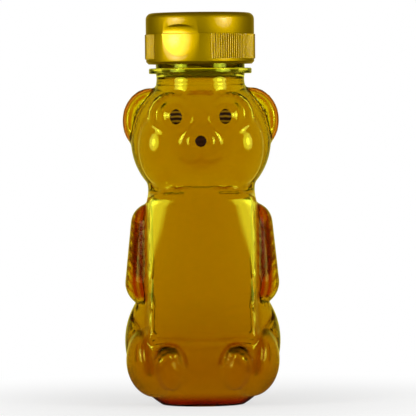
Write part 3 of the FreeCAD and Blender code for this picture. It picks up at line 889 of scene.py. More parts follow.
    def foot_lines(self) -> list[Line]:
        """Return the lines of one foot: outline, arch of painted shade, thigh, toes and locks of fur."""
        sole_x, _, sole_z = self.sole.centre
        half_x, _, half_z = self.sole.half
        grow_x, grow_z = self.sole_growth
        outline = oval((sole_x, sole_z), (half_x + grow_x, half_z + grow_z), *self.sole_arc, 14)
        arch_x, arch_z = self.arch_start
        arch = tuple((arch_x + self.arch_step * step, arch_z - self.arch_fall * step ** 2)
                     for step in range(7))
        # The outline is a groove with painted shade, the arch is painted shade only, and the soles and
        # thighs get painted shade and painted dimming
        lines = [Line(outline, 1.1, 0.5, 0.85), Line(arch, 2.4, 0.0, 0.45), self.sole_dull, self.thigh_shade,
                 self.thigh_dull]
        for x, z in self.toes:
            bead = ((x, z + self.toe_half), (x, z - self.toe_half))
            # Each toe is a raised bead, cleared of painted shade and dimming so that its own glints show
            lines += [Line(bead, 0.7, -0.65), Line(bead, 1.1, 0.0, -1.0)]
        for lock in range(self.thigh_locks):
            x, z = (start + step * lock for start, step in zip(self.thigh_lock_start, self.thigh_lock_step))
            # Each lock is a shallow groove with painted shade
            lines.append(Line(((x, z + 3.0), (x + 0.4, z), (x + 0.1, z - 3.2)), 0.5, 0.2, 0.9))
        return lines

    def line_strokes(self, skin: BVHTree) -> list[Stroke]:
        """Draw the lines of the face, the body and the feet.

        Args:
            skin: the smoothed skin, on which the lines are laid.

        Returns:
            The strokes.
        """
        ring = oval(self.snout_ring_middle, (self.snout_ring, self.snout_ring))
        middle = [self.philtrum, self.forehead_crease, Line(ring, self.ridge_width, -self.snout_ridge),
                  self.neck_fold, self.panel_foot]
        sided = [*self.face_lines(), self.panel_side, self.thigh_crease, self.waist, self.fold_lip,
                 *self.foot_lines()]
        strokes = [line.laid(skin, 1) for line in middle]
        for side in Side:
            strokes += [line.laid(skin, side.value) for line in sided]
        return strokes

    def build(self) -> BMesh:
        """Return the whole skin, closed above the neck's cut and standing on its base."""
        bm = self.panel_block()
        for lobe in (self.hips, self.trunk, self.collar, self.chest, self.head, self.face, self.snout,
                     self.chin, self.thigh, self.sole, self.ear, self.cheek, self.brow, self.eye):
            lobe.add_to(bm)
        self.add_arms(bm)
        self.add_neck(bm)
        bm = fused(bm, self.voxel)
        smoothed(bm, self.fusing_rounds)
        places, normals = positions(bm), directions(bm)
        self.dish_ears(places, normals)
        place_all(bm, places)
        smoothed(bm, self.smoothing_rounds)
        low, high = self.chest_band
        edge = self.panel_half[0]
        chest = [v for v in bm.verts if low < v.co.z < high and abs(v.co.x) < edge]
        smoothed(bm, self.chest_rounds, chest)
        low, high = self.corner_band
        corners = [v for v in bm.verts if low < v.co.z < high
                   and abs(v.co.x) > edge - self.corner_reach and v.co.y < self.corner_front]
        smoothed(bm, self.corner_rounds, corners)
        places = positions(bm)
        self.seat_base(places)
        place_all(bm, places)
        return bm


@dataclass
class BottleShell:
    """The clear bottle: the bear's skin, a wall inside it, and the neck with support ring and thread."""

    skin: BearSkin
    wall: float = 0.8
    inner_voxel: float = 1.15
    inner_rounds: int = 5
    bore_radius: float = 14.9
    ring_radius: float = 19.2
    ring_foot: float = 123.9
    ring_top: float = 125.9
    ring_rounding: float = 0.6
    edge_rounding: float = 0.36
    neck_start: float = 119.9
    bore_start: float = 120.8
    neck_waist: float = 0.22
    neck_limits: Triple = (10.0, 16.2, 18.0)
    finish_margins: Pair = (0.6, 0.4)
    thread_height: float = 0.85
    thread_half_width: float = 1.05
    thread_pitch: float = 4.233
    thread_turns: float = 1.25
    thread_start: float = 128.4
    thread_run_in: float = 0.08
    thread_flank: float = 1.6
    steps: int = 144
    strokes: list[Stroke] = field(default_factory=list)

    def inner_skin(self, outer: BMesh, inset: float) -> BMesh:
        """Return the smooth skin set in by a distance, on a coarser and even mesh."""
        bm = outer.copy()
        place_all(bm, positions(bm) - inset * directions(bm))
        bm = fused(bm, self.inner_voxel)
        smoothed(bm, self.inner_rounds)
        return bm

    def opened(self, bm: BMesh) -> None:
        """Cut a skin open at the neck."""
        bmesh.ops.bisect_plane(bm, geom=bm.verts[:] + bm.edges[:] + bm.faces[:], dist=1e-5,
                               plane_co=(0, 0, self.skin.neck_cut), plane_no=UP, clear_outer=True)

    def thread_lift(self, along: float, height: float) -> float:
        """Return how far the thread stands out.

        Args:
            along: turns from the thread's start.
            height: height on the wall.

        Returns:
            The lift, 0 outside the thread.
        """
        run_in = min(along, self.thread_turns - along) / self.thread_run_in
        crest = 1 - abs(height - self.thread_start - self.thread_pitch * along) / self.thread_half_width
        return self.thread_height * max(min(run_in, self.thread_flank * crest, 1), 0)

    def thread(self, bm: BMesh) -> None:
        """Raise one helical thread on the finish wall."""
        near = 0.05
        laps = range(math.ceil(self.thread_turns))
        for vertex in bm.verts:
            radius = math.hypot(vertex.co.x, vertex.co.y)
            if abs(radius - self.skin.neck_radius) > near or vertex.co.z < self.ring_top:
                continue
            turn = math.atan2(vertex.co.y, vertex.co.x) % FULL_TURN / FULL_TURN
            lift = max(self.thread_lift(lap + turn, vertex.co.z) for lap in laps)
            vertex.co.xy *= (radius + lift) / radius

    def neck(self) -> BMesh:
        """Return the neck: outer wall, support ring, threaded finish, lip and bore, open below."""
        outer, bore = self.skin.neck_radius, self.bore_radius
        waist_rows, finish_rows = 8, 30
        waist = [(outer - self.neck_waist * math.sin(math.pi * row / waist_rows),
                  self.neck_start + (self.ring_foot - self.neck_start) * row / waist_rows)
                 for row in range(waist_rows + 1)]
        low, high = self.ring_top + self.finish_margins[0], LEVELS.lip - self.finish_margins[1]
        finish = [(outer, low + (high - low) * row / finish_rows) for row in range(finish_rows + 1)]
        edge, inset, foot, top = self.ring_radius, self.ring_rounding, self.ring_foot, self.ring_top
        ring = [(edge - inset, foot), (edge, foot), (edge, foot + inset),
                (edge, top - inset), (edge, top), (edge - inset, top), (outer, top)]
        lip = [(outer, LEVELS.lip), (bore, LEVELS.lip), (bore, self.bore_start)]
        bm = turned([*waist, *ring, *finish, *lip], self.steps, closed=False)
        corners = ((edge, foot), (edge, top), (outer, LEVELS.lip), (bore, LEVELS.lip))
        rounded(bm, [found for corner in corners for found in ring_edges(bm, *corner)], self.edge_rounding)
        self.thread(bm)
        return bm

    def shades(self, places: np.ndarray) -> dict[str, np.ndarray]:
        """Return the strokes' painted shade and painted dimming of reflections at each place, by the name of
        its attribute.
        """
        fur, dull = np.zeros(len(places)), np.zeros(len(places))
        for stroke in sorted(self.strokes, key=lambda stroke: -stroke.tone):
            weight = stroke.weight(places)
            if stroke.tone < 0:
                fur *= 1 + stroke.tone * weight
                dull *= 1 + stroke.tone * weight
            else:
                fur = np.maximum(fur, stroke.tone * weight)
                dull = np.maximum(dull, max(stroke.tone, stroke.dull) * weight)
        return {"fur": fur, "dull": dull}

    def build(self, smooth_skin: BMesh, material: Material) -> Object:
        """Build the bottle.

        Args:
            smooth_skin: the bear's skin before it is carved.
            material: the shell's finish.

        Returns:
            The bottle.
        """
        inner = self.inner_skin(smooth_skin, self.wall)
        bmesh.ops.reverse_faces(inner, faces=inner.faces)
        outer = smooth_skin.copy()
        places, normals = positions(outer), directions(outer)
        for stroke in self.strokes:
            places -= (stroke.depth * stroke.weight(places))[:, None] * normals
        place_all(outer, places)
        self.opened(outer)
        self.opened(inner)
        appended(outer, inner)
        appended(outer, self.neck())
        inside, between, outside = self.neck_limits
        bridged(outer, (between, outside), self.skin.neck_cut, self.neck_start)
        bridged(outer, (inside, between), self.skin.neck_cut, self.bore_start)
        bmesh.ops.recalc_face_normals(outer, faces=outer.faces)
        # The fur attribute carries painted shade, and the dull attribute a painted dimming of the lamps'
        # reflections
        shades = self.shades(positions(outer))
        obj = finished("bear_bottle", outer, material, Body.BOTTLE, "bottle", 60)
        for name, values in shades.items():
            attribute = obj.data.attributes.new(name, "FLOAT", "POINT")
            attribute.data.foreach_set("value", values.astype(np.float32))
        return obj


@dataclass
class HoneyFill:
    """The honey inside the shell: it wets the wall, so its skin lies just inside the plastic."""

    shell: BottleShell
    wetting: float = 0.25
    meniscus: float = 0.5
    meniscus_width: float = 1.6
    meniscus_bend: Pair = (0.3, 0.35)
    neck_limits: Pair = (10.0, 17.0)

    def build(self, smooth_skin: BMesh, material: Material) -> Object:
        """Build the honey.

        Args:
            smooth_skin: the bear's skin before it is carved.
            material: the honey's look.

        Returns:
            The honey.
        """
        bm = self.shell.inner_skin(smooth_skin, self.shell.wall - self.wetting)
        self.shell.opened(bm)
        rim = self.shell.bore_radius + self.wetting
        level = LEVELS.honey - self.meniscus
        bend_in, bend_up = self.meniscus_bend
        top = turned([(rim, self.shell.bore_start), (rim, LEVELS.honey),
                      (rim - bend_in * self.meniscus_width, level + bend_up * self.meniscus),
                      (rim - self.meniscus_width, level), (0, level)], self.shell.steps, closed=False)
        appended(bm, top)
        bridged(bm, self.neck_limits, self.shell.skin.neck_cut, self.shell.bore_start)
        bmesh.ops.recalc_face_normals(bm, faces=bm.faces)
        return finished("honey", bm, material, Body.BOTTLE, "honey_fill", 60)


@dataclass
class FacePrint:
    """The printed pupils and nose, thin films laid on the skin."""

    skin: BearSkin
    pupil_half: Pair = (2.25, 2.8)
    nose_half: Pair = (2.1, 2.1)
    nose_place: Pair = (0.0, 98.9)
    top_narrowing: float = 0.16
    crown: float = 0.28
    crown_power: int = 6
    clearance: float = 0.03
    film: float = 0.12
    rings: int = 7

    def spot(self, name: str, node: str, place: Pair, half: Pair, tree: BVHTree,
             material: Material) -> Object:
        """Build one spot.

        Args:
            name: name of the new object.
            node: node of the frame that it stands for.
            place: X and Z of its middle.
            half: its half width and half height.
            tree: the skin that it lies on.
            material: its ink.

        Returns:
            The spot.
        """
        bm = bmesh.new()
        upright = Matrix.Rotation(math.pi / 2, 4, "X")
        bmesh.ops.create_circle(bm, cap_ends=True, segments=56, radius=1, matrix=upright)
        for _ in range(self.rings):
            innermost = min(bm.faces, key=lambda face: max(v.co.length for v in face.verts))
            bmesh.ops.inset_individual(bm, faces=[innermost], thickness=1 / (self.rings + 1))
        for vertex in bm.verts:
            share = min(vertex.co.length, 1)
            narrow = 1 - self.top_narrowing * max(vertex.co.z, 0) ** 2
            x, z = place[0] + half[0] * narrow * vertex.co.x, place[1] + half[1] * vertex.co.z
            hit = tree.ray_cast(Vector((x, -FAR, z)), Vector((0, 1, 0)))[0]
            lift = self.crown * (1 - share ** self.crown_power) + self.clearance
            vertex.co = Vector((x, hit.y - lift, z))
        bmesh.ops.recalc_face_normals(bm, faces=bm.faces)
        if sum((face.normal * face.calc_area() for face in bm.faces), Vector()).y > 0:
            bmesh.ops.reverse_faces(bm, faces=bm.faces)
        bmesh.ops.solidify(bm, geom=bm.faces[:], thickness=self.film)
        bmesh.ops.recalc_face_normals(bm, faces=bm.faces)
        return finished(name, bm, material, Body.BOTTLE, node, 50)

    def build(self, tree: BVHTree, banded: Material, solid: Material) -> None:
        """Build both pupils in banded ink and the nose in solid ink."""
        eye_x, _, eye_z = self.skin.eye.centre
        for side in Side:
            word, place = side.name.lower(), (side.value * eye_x, eye_z)
            self.spot(f"pupil_{word}", f"eye_{word}", place, self.pupil_half, tree, banded)
        self.spot("nose_spot", "nose", self.nose_place, self.nose_half, tree, solid)


@dataclass
class LinerRing:
    """The foam ring that seals the lip against the closure's deck."""

    inner_radius: float = 14.9
    outer_radius: float = 17.4
    rounding: float = 0.18

    def build(self, material: Material) -> Object:
        """Build the ring."""
        foot, top = LEVELS.liner_foot, LEVELS.liner_top
        corners = [(self.inner_radius, foot), (self.outer_radius, foot),
                   (self.outer_radius, top), (self.inner_radius, top)]
        bm = turned(corners, 128)
        edges = [edge for corner in corners for edge in ring_edges(bm, *corner)]
        rounded(bm, edges, self.rounding)
        return finished("foam_liner", bm, material, Body.LINER, "liner_ring")


@dataclass
class Closure:
    """The screw base, flip lid and living hinge, built facing -Y and turned to where the thread stops."""

    facing_degrees: float = 22.4
    radius: float = 20.2
    skirt_bore: float = 17.9
    deck_foot: float = 137.16
    parting: float = 138.61
    chamfer: float = 0.9
    spout_radius: float = 5.2
    spout_tip_radius: float = 4.6
    orifice_radius: float = 3.2
    bead_radii: Pair = (17.4, 18.2)
    bead_height: float = 0.7
    rib_count: int = 46
    rib_pitch_degrees: float = 2.6
    rib_start_degrees: float = 35.0
    rib_radius: float = 0.42
    rib_sides: int = 12
    rib_band: float = 1.9
    rib_gap: float = 0.12
    thread_depth: float = 0.8
    thread_root: float = 0.2
    thread_half_widths: Pair = (0.9, 0.15)
    thread_pitch: float = 4.233
    thread_turns: float = 1.2
    thread_steps: int = 96
    thread_foot: float = 130.2
    lid_radius: float = 20.25
    lid_wall: float = 1.7
    lid_roof: float = 1.3
    lid_rounding: float = 2.4
    plug_radii: Pair = (1.95, 2.85)
    plug_tip: float = 139.21
    # Thumb recess: its depth and its reach from the parting line, and what of it is polished
    thumb_base: Pair = (1.4, 8.3)
    thumb_lid: Pair = (1.25, 3.4)
    polish_depth: float = 1.1
    polish_skin: float = 0.01
    polish_width: float = 0.8
    polish_margin: float = 0.05
    polish_foot: float = 1.08
    # Flat behind, where the hinge lies
    flat: float = 0.7
    flat_drop: float = 4.5
    flat_overrun: float = 1.0
    flat_block: float = 10.0
    film_width: float = 4.4
    film_half_height: float = 1.2
    strap_width: float = 1.6
    strap_spread: float = 4.0
    strap_half_height: float = 1.9
    film_thickness: float = 0.45
    film_waist: float = 0.2
    film_rounding: float = 0.08
    film_bend: float = 0.8
    seat_gap: float = 0.05
    softening: float = 0.14
    softened_degrees: float = 32
    sharp_degrees: float = 34
    steps: int = 192

    def facing(self) -> Matrix:
        """Return the turn that points the thumb recess to where the closure stops."""
        return Matrix.Rotation(-math.radians(self.facing_degrees), 3, UP)

    def faced(self, bm: BMesh) -> BMesh:
        """Turn a piece to where the closure stops."""
        bmesh.ops.rotate(bm, cent=(0, 0, 0), matrix=self.facing(), verts=bm.verts)
        return bm

    def thumb_bar(self, depth: float, reach: float, radius: float) -> BMesh:
        """Return the round bar that cuts a thumb recess at the parting line."""
        bar = (reach ** 2 + depth ** 2) / (2 * depth)
        bm = bmesh.new()
        middle = Matrix.Translation((0, -(radius - depth + bar), self.parting))
        bmesh.ops.create_cone(bm, cap_ends=True, segments=256, radius1=bar, radius2=bar, depth=2 * radius,
                              matrix=middle @ Matrix.Rotation(math.pi / 2, 4, "Y"))
        return bm

    def polished(self, obj: Object, radius: float, depth: float, low: float, high: float) -> Object:
        """Mark the faces of a piece's thumb recess as polished.

        Args:
            obj: the finished piece.
            radius: radius of the wall that the recess is cut in.
            depth: depth of the recess.
            low: lowest height of the recess.
            high: highest height of the recess.

        Returns:
            The same piece.
        """
        ahead = self.facing() @ Vector((0, -1, 0))
        marks = []
        for face in obj.data.polygons:
            centre = face.center / MM
            reach = math.hypot(centre.x, centre.y)
            in_wall = radius - self.polish_depth * depth < reach < radius - self.polish_skin
            in_front = centre.dot(ahead) > self.polish_width * reach
            marks.append(float(in_wall and in_front and low < centre.z < high))
        obj.data.attributes.new("polish", "FLOAT", "FACE").data.foreach_set("value", marks)
        return obj

    def back_block(self, foot: float, height: float) -> BMesh:
        """Return the block that cuts the flat where the hinge lies."""
        bm = bmesh.new()
        middle = (0, self.radius - self.flat + self.flat_block / 2, foot + height / 2)
        size = Matrix.Diagonal((self.radius, self.flat_block, height, 1))
        bmesh.ops.create_cube(bm, size=1, matrix=Matrix.Translation(middle) @ size)
        return bm

    def softened(self, bm: BMesh) -> BMesh:
        """Round every sharp edge a little, as a moulded edge is."""
        bmesh.ops.remove_doubles(bm, verts=bm.verts, dist=0.002)
        obj = scratch_object(bm, "sharp")
        bevel = obj.modifiers.new("soft", "BEVEL")
        bevel.width = self.softening
        bevel.segments = 2
        bevel.limit_method = "ANGLE"
        bevel.angle_limit = math.radians(self.softened_degrees)
        bevel.use_clamp_overlap = True
        return after_modifiers(obj)

    def ribs(self) -> BMesh:
        """Return the fine upright grip ribs of both sides, each a small bar sunk in the wall."""
        bm = bmesh.new()
        foot = LEVELS.skirt_foot + self.rib_band
        height = self.parting - self.rib_gap - foot
        start = math.radians(self.rib_start_degrees)
        sweep = math.radians(self.rib_pitch_degrees) * (self.rib_count - 1)
        for side in Side:
            place = (Matrix.Rotation(side.value * start, 4, UP)
                     @ Matrix.Translation((0, -self.radius, foot + height / 2)))
            bar = bmesh.ops.create_cone(bm, cap_ends=True, segments=self.rib_sides, radius1=self.rib_radius,
                                        radius2=self.rib_radius, depth=height, matrix=place)["verts"]
            edges = list({edge for vertex in bar for edge in vertex.link_edges})
            faces = list({face for vertex in bar for face in vertex.link_faces})
            bmesh.ops.spin(bm, geom=bar + edges + faces, cent=(0, 0, 0), axis=UP, angle=side.value * sweep,
                           steps=self.rib_count - 1, use_duplicate=True)
        return bm

    def inner_thread(self) -> BMesh:
        """Return the helical thread inside the skirt, a small wedge swept round and up."""
        bm = bmesh.new()
        root, crest = self.skirt_bore + self.thread_root, self.skirt_bore - self.thread_depth
        wide, narrow = self.thread_half_widths
        corners = ((root, -wide), (crest, -narrow), (crest, narrow), (root, wide))
        wedge = [bm.verts.new((radius, 0, self.thread_foot + height)) for radius, height in corners]
        section = bm.faces.new(wedge)
        steps = round(self.thread_turns * self.thread_steps)
        rise = self.thread_pitch * self.thread_turns / steps
        bmesh.ops.spin(bm, geom=[section, *section.edges, *wedge], cent=(0, 0, 0), axis=UP,
                       dvec=(0, 0, rise), angle=FULL_TURN * self.thread_turns, steps=steps)
        bmesh.ops.holes_fill(bm, edges=[edge for edge in bm.edges if edge.is_boundary], sides=4)
        bmesh.ops.recalc_face_normals(bm, faces=bm.faces)
        return bm

    def build_base(self, material: Material) -> Object:
        """Build the screw base."""
        foot, tip = LEVELS.skirt_foot, LEVELS.spout_tip
        bead_in, bead_out = self.bead_radii
        parting, crest = self.parting, self.parting + self.bead_height
        skirt = [(self.orifice_radius, self.deck_foot), (self.skirt_bore, self.deck_foot),
                 (self.skirt_bore, foot), (self.radius - self.chamfer, foot),
                 (self.radius, foot + self.chamfer), (self.radius, parting)]
        bead = [(bead_out, parting), (bead_out, crest), (bead_in, crest), (bead_in, parting)]
        spout = [(self.spout_radius, parting), (self.spout_tip_radius, tip), (self.orifice_radius, tip)]
        bm = turned(skirt + bead + spout, self.steps)
        bm = carved(bm, self.thumb_bar(*self.thumb_base, self.radius))
        bm = carved(bm, self.back_block(parting - self.flat_drop, self.flat_drop + 2 * self.bead_height))
        bm = self.softened(bm)
        appended(bm, self.ribs())
        appended(bm, self.inner_thread())
        bmesh.ops.recalc_face_normals(bm, faces=bm.faces)
        obj = finished("screw_base", self.faced(bm), material, Body.CLOSURE, "closure_base",
                       self.sharp_degrees)
        return self.polished(obj, self.radius, self.thumb_base[0], foot + self.polish_foot,
                             parting - self.polish_margin)

    def build_lid(self, material: Material) -> Object:
        """Build the flip lid."""
        foot, top = LEVELS.lid_foot, LEVELS.lid_top
        ceiling, bore = top - self.lid_roof, self.lid_radius - self.lid_wall
        plug_in, plug_out = self.plug_radii
        plug = [(plug_in, ceiling), (plug_in, self.plug_tip), (plug_out, self.plug_tip), (plug_out, ceiling)]
        wall = [(bore, ceiling), (bore, foot), (self.lid_radius, foot), (self.lid_radius, top)]
        bm = turned([(0, top), (0, ceiling), *plug, *wall], self.steps, closed=False)
        bmesh.ops.holes_fill(bm, edges=[edge for edge in bm.edges if edge.is_boundary])
        bmesh.ops.remove_doubles(bm, verts=bm.verts, dist=MERGE)
        bmesh.ops.recalc_face_normals(bm, faces=bm.faces)
        rounded(bm, ring_edges(bm, self.lid_radius, top), self.lid_rounding, 8)
        bm = carved(bm, self.thumb_bar(*self.thumb_lid, self.lid_radius))
        bm = carved(bm, self.back_block(foot - self.flat_overrun, top - foot + 2 * self.flat_overrun))
        bm = self.softened(bm)
        bmesh.ops.recalc_face_normals(bm, faces=bm.faces)
        obj = finished("flip_lid_shell", self.faced(bm), material, Body.LID, "flip_lid",
                       self.sharp_degrees)
        return self.polished(obj, self.lid_radius, self.thumb_lid[0], foot + self.polish_margin,
                             top - self.lid_rounding)

    def build_strip(self, node: str, width: float, half_height: float, spread: float,
                    material: Material) -> Object:
        """Build one strip of the living hinge, thinned at the parting line.

        Args:
            node: node of the frame that it stands for.
            width: its width.
            half_height: how far it reaches above and below the parting line.
            spread: how far to the side its middle is.
            material: its finish.

        Returns:
            The strip.
        """
        near = self.radius - self.flat + self.seat_gap
        middle = (self.parting + LEVELS.lid_foot) / 2
        bm = bmesh.new()
        place = (Matrix.Translation((spread, near + self.film_thickness / 2, middle))
                 @ Matrix.Diagonal((width, self.film_thickness, 2 * half_height, 1)))
        bmesh.ops.create_cube(bm, size=1, matrix=place)
        upright = [edge for edge in bm.edges if abs(edge.verts[0].co.z - edge.verts[1].co.z) > half_height]
        bmesh.ops.subdivide_edges(bm, edges=upright, cuts=15, use_grid_fill=True)
        for vertex in bm.verts:
            if vertex.co.y > near + self.film_thickness / 2:
                share = abs(vertex.co.z - middle) / half_height
                vertex.co.y = near + self.film_waist + (self.film_thickness - self.film_waist) * share
        ends = [edge for edge in bm.edges
                if all(abs(abs(v.co.z - middle) - half_height) < MERGE for v in edge.verts)]
        rounded(bm, ends, self.film_rounding, 2)
        bmesh.ops.recalc_face_normals(bm, faces=bm.faces)
        obj = finished(f"{node}_strip", self.faced(bm), material, None, node)
        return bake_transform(obj)

    def build(self, material: Material) -> None:
        """Build the base, the lid and the three strips of the hinge."""
        self.build_base(material)
        self.build_lid(material)
        self.build_strip("hinge_film", self.film_width, self.film_half_height, 0, material)
        for side in Side:
            self.build_strip(f"snap_strap_{side.name.lower()}", self.strap_width, self.strap_half_height,
                             side.value * self.strap_spread, material)


@dataclass
class Studio:
    """A pale floor, a white backdrop with darker sides, two soft boxes with a hot core, and the camera."""

    camera_place: Triple = (0.0024, -1.30, 0.113)
    camera_target: Triple = (0.0024, 0.0, 0.0736)
    camera_roll_degrees: float = -0.55
    field_of_view_degrees: float = 6.85
    floor_radius: float = 4.0
    floor_colour: str = "F4F4F2"
    floor_reflected: str = "5A5040"
    box_distance: float = 0.62
    box_turn_degrees: float = 52.0
    box_height: float = 0.19
    box_size: Pair = (0.5, 0.38)
    halo_reach: float = 0.32
    halo_radiance: float = 7.0
    core_reach: float = 0.24
    core_radiance: float = 20.0
    fill_light: float = 0.35
    reflected_light: float = 0.1
    rim_light: float = 0.8
    reflected_colour: str = "F2E65A"
    front_light: float = 0.7
    side_light: float = 0.85
    # Y of a ray's direction where the brightness starts to change and where it has changed
    behind_span: Pair = (0.0, 0.6)
    before_span: Pair = (-0.15, -0.8)
    mirror_span: Pair = (0.7, 0.97)
    # Distance from the bottle's middle, in metres, over which the floor brightens
    shadow_span: Pair = (0.03, 0.16)
    shadow_level: float = 0.62
    glass_span: Pair = (0.02, 0.14)
    sensor_mm: float = 36.0
    clear_bounces: int = 28
    glossy_bounces: int = 8

    def seen_through(self, tree: NodeTree, direction: NodeSocket) -> NodeSocket:
        """Return the light seen through the bottle: white behind it, dimmer in front and dimmest beside it.

        Args:
            tree: the tree of the floor or the world.
            direction: where a ray goes, of length 1.

        Returns:
            The brightness.
        """
        split = add_node(tree, "ShaderNodeSeparateXYZ", {"Vector": direction})
        lights = []
        for span, light in ((self.behind_span, 1.0), (self.before_span, self.front_light)):
            lights.append(add_node(tree, "ShaderNodeMapRange", {
                "Value": split.outputs["Y"], "From Min": span[0], "From Max": span[1],
                "To Min": self.side_light, "To Max": light}, interpolation_type="SMOOTHSTEP"))
        return add_node(tree, "ShaderNodeMath", {
            0: lights[0].outputs["Result"], 1: lights[1].outputs["Result"]},
            operation="MAXIMUM").outputs["Value"]

    def mirrored(self, tree: NodeTree, direction: NodeSocket) -> NodeSocket:
        """Return the light that a surface mirrors: dim, but bright straight behind the bottle.

        Args:
            tree: the tree of the floor or the world.
            direction: where a ray goes, of length 1.

        Returns:
            The brightness.
        """
        split = add_node(tree, "ShaderNodeSeparateXYZ", {"Vector": direction})
        return add_node(tree, "ShaderNodeMapRange", {
            "Value": split.outputs["Y"], "From Min": self.mirror_span[0], "From Max": self.mirror_span[1],
            "To Min": self.reflected_light, "To Max": self.rim_light},
            interpolation_type="SMOOTHSTEP").outputs["Result"]

    def seen(self, tree: NodeTree, paths: Node, direction: NodeSocket, plain: float) -> NodeSocket:
        """Return the brightness of the surround for each kind of ray.

        Args:
            tree: the tree of the floor or the world.
            paths: its light path node.
            direction: where a ray goes, of length 1.
            plain: the brightness for rays that only light a surface.

        Returns:
            The brightness.
        """
        light = add_node(tree, "ShaderNodeMix", {
            "Factor": paths.outputs["Is Glossy Ray"], 2: plain, 3: self.mirrored(tree, direction)})
        light = add_node(tree, "ShaderNodeMix", {
            "Factor": paths.outputs["Is Transmission Ray"], 2: light.outputs[0],
            3: self.seen_through(tree, direction)})
        return add_node(tree, "ShaderNodeMix", {
            "Factor": paths.outputs["Is Camera Ray"], 2: light.outputs[0], 3: 1.0}).outputs[0]

    def seen_colour(self, tree: NodeTree, paths: Node) -> NodeSocket:
        """Return the colour of the surround: white, but warm where it is mirrored and not seen through."""
        mirrored = add_node(tree, "ShaderNodeMath", {
            0: paths.outputs["Is Glossy Ray"], 1: paths.outputs["Is Transmission Ray"]},
            operation="SUBTRACT", use_clamp=True)
        return add_node(tree, "ShaderNodeMix", {
            "Factor": mirrored.outputs["Value"], "A": linear("FFFFFF"), "B": linear(self.reflected_colour)},
            data_type="RGBA").outputs["Result"]

    def floor(self) -> None:
        """Lay the floor: pale with a soft shadow to the camera, and dark near the bottle elsewhere."""
        material, tree = empty_material("pale_floor")
        paths = add_node(tree, "ShaderNodeLightPath")
        place = add_node(tree, "ShaderNodeTexCoord").outputs["Object"]
        reach = add_node(tree, "ShaderNodeVectorMath", {0: place}, operation="LENGTH").outputs["Value"]
        away = add_node(tree, "ShaderNodeVectorMath", {0: place}, operation="NORMALIZE").outputs["Vector"]
        near_camera = add_node(tree, "ShaderNodeMapRange", {
            "Value": reach, "From Min": self.shadow_span[0], "From Max": self.shadow_span[1],
            "To Min": self.shadow_level}, interpolation_type="SMOOTHSTEP")
        near_glass = add_node(tree, "ShaderNodeMapRange", {
            "Value": reach, "From Min": self.glass_span[0], "From Max": self.glass_span[1]},
            interpolation_type="SMOOTHSTEP")
        bright = add_node(tree, "ShaderNodeMath", {
            0: paths.outputs["Is Transmission Ray"], 1: paths.outputs["Is Glossy Ray"]}, operation="MAXIMUM")
        share = add_node(tree, "ShaderNodeMix", {
            "Factor": bright.outputs["Value"], 2: 0.0, 3: near_glass.outputs["Result"]})
        share = add_node(tree, "ShaderNodeMix", {
            "Factor": paths.outputs["Is Camera Ray"], 2: share.outputs[0], 3: near_camera.outputs["Result"]})
        colour = add_node(tree, "ShaderNodeMix", {
            "Factor": paths.outputs["Is Camera Ray"], "A": linear(self.floor_reflected),
            "B": linear(self.floor_colour)}, data_type="RGBA")
        matt = add_node(tree, "ShaderNodeBsdfDiffuse", {"Color": colour.outputs["Result"]})
        white = add_node(tree, "ShaderNodeEmission", {
            "Color": self.seen_colour(tree, paths), "Strength": self.seen(tree, paths, away, 0.0)})
        mixed = add_node(tree, "ShaderNodeMixShader", {
            0: share.outputs[0], 1: matt.outputs["BSDF"], 2: white.outputs["Emission"]})
        add_node(tree, "ShaderNodeOutputMaterial", {"Surface": mixed.outputs["Shader"]})
        bm = bmesh.new()
        bmesh.ops.create_circle(bm, cap_ends=True, segments=96, radius=self.floor_radius)
        floor = scratch_object(bm, "floor")
        floor.data.materials.append(material)

    def surround(self) -> None:
        """Make the world white to the camera, and dim where it lights or is reflected."""
        world = bpy.data.worlds.new("studio_surround")
        world.use_nodes = True
        tree = world.node_tree
        tree.nodes.clear()
        paths = add_node(tree, "ShaderNodeLightPath")
        place = add_node(tree, "ShaderNodeTexCoord").outputs["Generated"]
        sky = add_node(tree, "ShaderNodeBackground", {
            "Color": self.seen_colour(tree, paths),
            "Strength": self.seen(tree, paths, place, self.fill_light)})
        add_node(tree, "ShaderNodeOutputWorld", {"Surface": sky.outputs["Background"]})
        bpy.context.scene.world = world

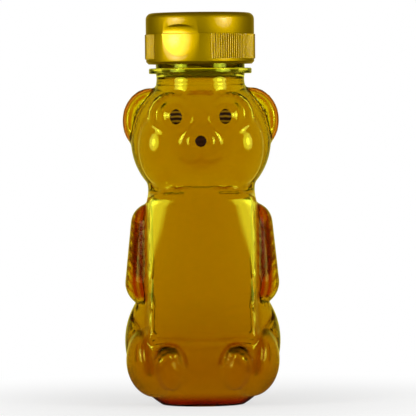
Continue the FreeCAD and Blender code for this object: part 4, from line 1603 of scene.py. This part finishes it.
    def lamp(self, side: Side) -> None:
        """Hang one oval soft box that faces the bottle, with a soft edge and a hot middle."""
        width, height = self.box_size
        light = bpy.data.lights.new(f"soft_box_{side.name.lower()}", "AREA")
        light.shape = "ELLIPSE"
        light.size, light.size_y = width, height
        light.energy = math.pi * math.pi / 4 * width * height
        light.use_nodes = True
        tree = light.node_tree
        tree.nodes.clear()
        place = add_node(tree, "ShaderNodeNewGeometry").outputs["Parametric"]
        middle = add_node(tree, "ShaderNodeVectorMath", {0: place, 1: (0.5, 0.5, 0.0)}, operation="SUBTRACT")
        reach = add_node(tree, "ShaderNodeVectorMath", {0: middle.outputs["Vector"]}, operation="LENGTH")
        lights = []
        for rim, full, radiance in ((0.5, self.halo_reach, self.halo_radiance),
                                    (self.core_reach, 0.0, self.core_radiance)):
            lights.append(add_node(tree, "ShaderNodeMapRange", {
                "Value": reach.outputs["Value"], "From Min": rim, "From Max": full, "To Max": radiance},
                interpolation_type="SMOOTHSTEP"))
        both = add_node(tree, "ShaderNodeMath", {
            0: lights[0].outputs["Result"], 1: lights[1].outputs["Result"]}, operation="ADD")
        glow = add_node(tree, "ShaderNodeEmission", {"Strength": both.outputs["Value"]})
        add_node(tree, "ShaderNodeOutputLight", {"Surface": glow.outputs["Emission"]})
        lamp = bpy.data.objects.new(light.name, light)
        turn = math.radians(self.box_turn_degrees)
        lamp.location = (side.value * self.box_distance * math.sin(turn),
                         -self.box_distance * math.cos(turn), self.box_height)
        aim = Vector(self.camera_target) - lamp.location
        lamp.rotation_euler = aim.to_track_quat("-Z", "Y").to_euler()
        lamp.visible_transmission = False
        bpy.context.scene.collection.objects.link(lamp)

    def camera(self) -> None:
        """Place the camera at the photograph's viewing angle."""
        data = bpy.data.cameras.new("camera")
        data.sensor_width = self.sensor_mm
        data.lens = data.sensor_width / 2 / math.tan(math.radians(self.field_of_view_degrees) / 2)
        obj = bpy.data.objects.new("camera", data)
        obj.location = self.camera_place
        aim = Vector(self.camera_target) - Vector(self.camera_place)
        roll = Matrix.Rotation(math.radians(self.camera_roll_degrees), 3, "Z")
        obj.rotation_euler = (aim.to_track_quat("-Z", "Y").to_matrix() @ roll).to_euler()
        bpy.context.scene.collection.objects.link(obj)
        bpy.context.scene.camera = obj

    def build(self) -> None:
        """Set up the whole studio."""
        self.floor()
        self.surround()
        for side in Side:
            self.lamp(side)
        self.camera()
        scene = bpy.context.scene
        scene.view_settings.view_transform = "Standard"
        scene.cycles.max_bounces = self.clear_bounces
        scene.cycles.transmission_bounces = self.clear_bounces
        scene.cycles.glossy_bounces = self.glossy_bounces


def main() -> None:
    """Build every piece, then the studio."""
    logging.basicConfig(level=logging.INFO, format="%(name)s: %(message)s")
    skin = BearSkin()
    smooth_skin = skin.build()
    tree = BVHTree.FromBMesh(smooth_skin)
    strokes = [*skin.painted_base_shade_strokes(), *skin.fur_and_shade_strokes(), *skin.line_strokes(tree)]
    shell = BottleShell(skin, strokes=strokes)
    shell.build(smooth_skin, ClearPet().material())
    HoneyFill(shell).build(smooth_skin, Honey().material())
    solid_ink = BrownPrint(name="pad_printed_solid_ink", painted_light_colour="2E160A")
    FacePrint(skin).build(tree, BrownPrint().material(), solid_ink.material())
    smooth_skin.free()
    LinerRing().build(WhiteFoam().material())
    Closure().build(GoldPolypropylene().material())
    Studio().build()


if __name__ == "__main__":
    main()
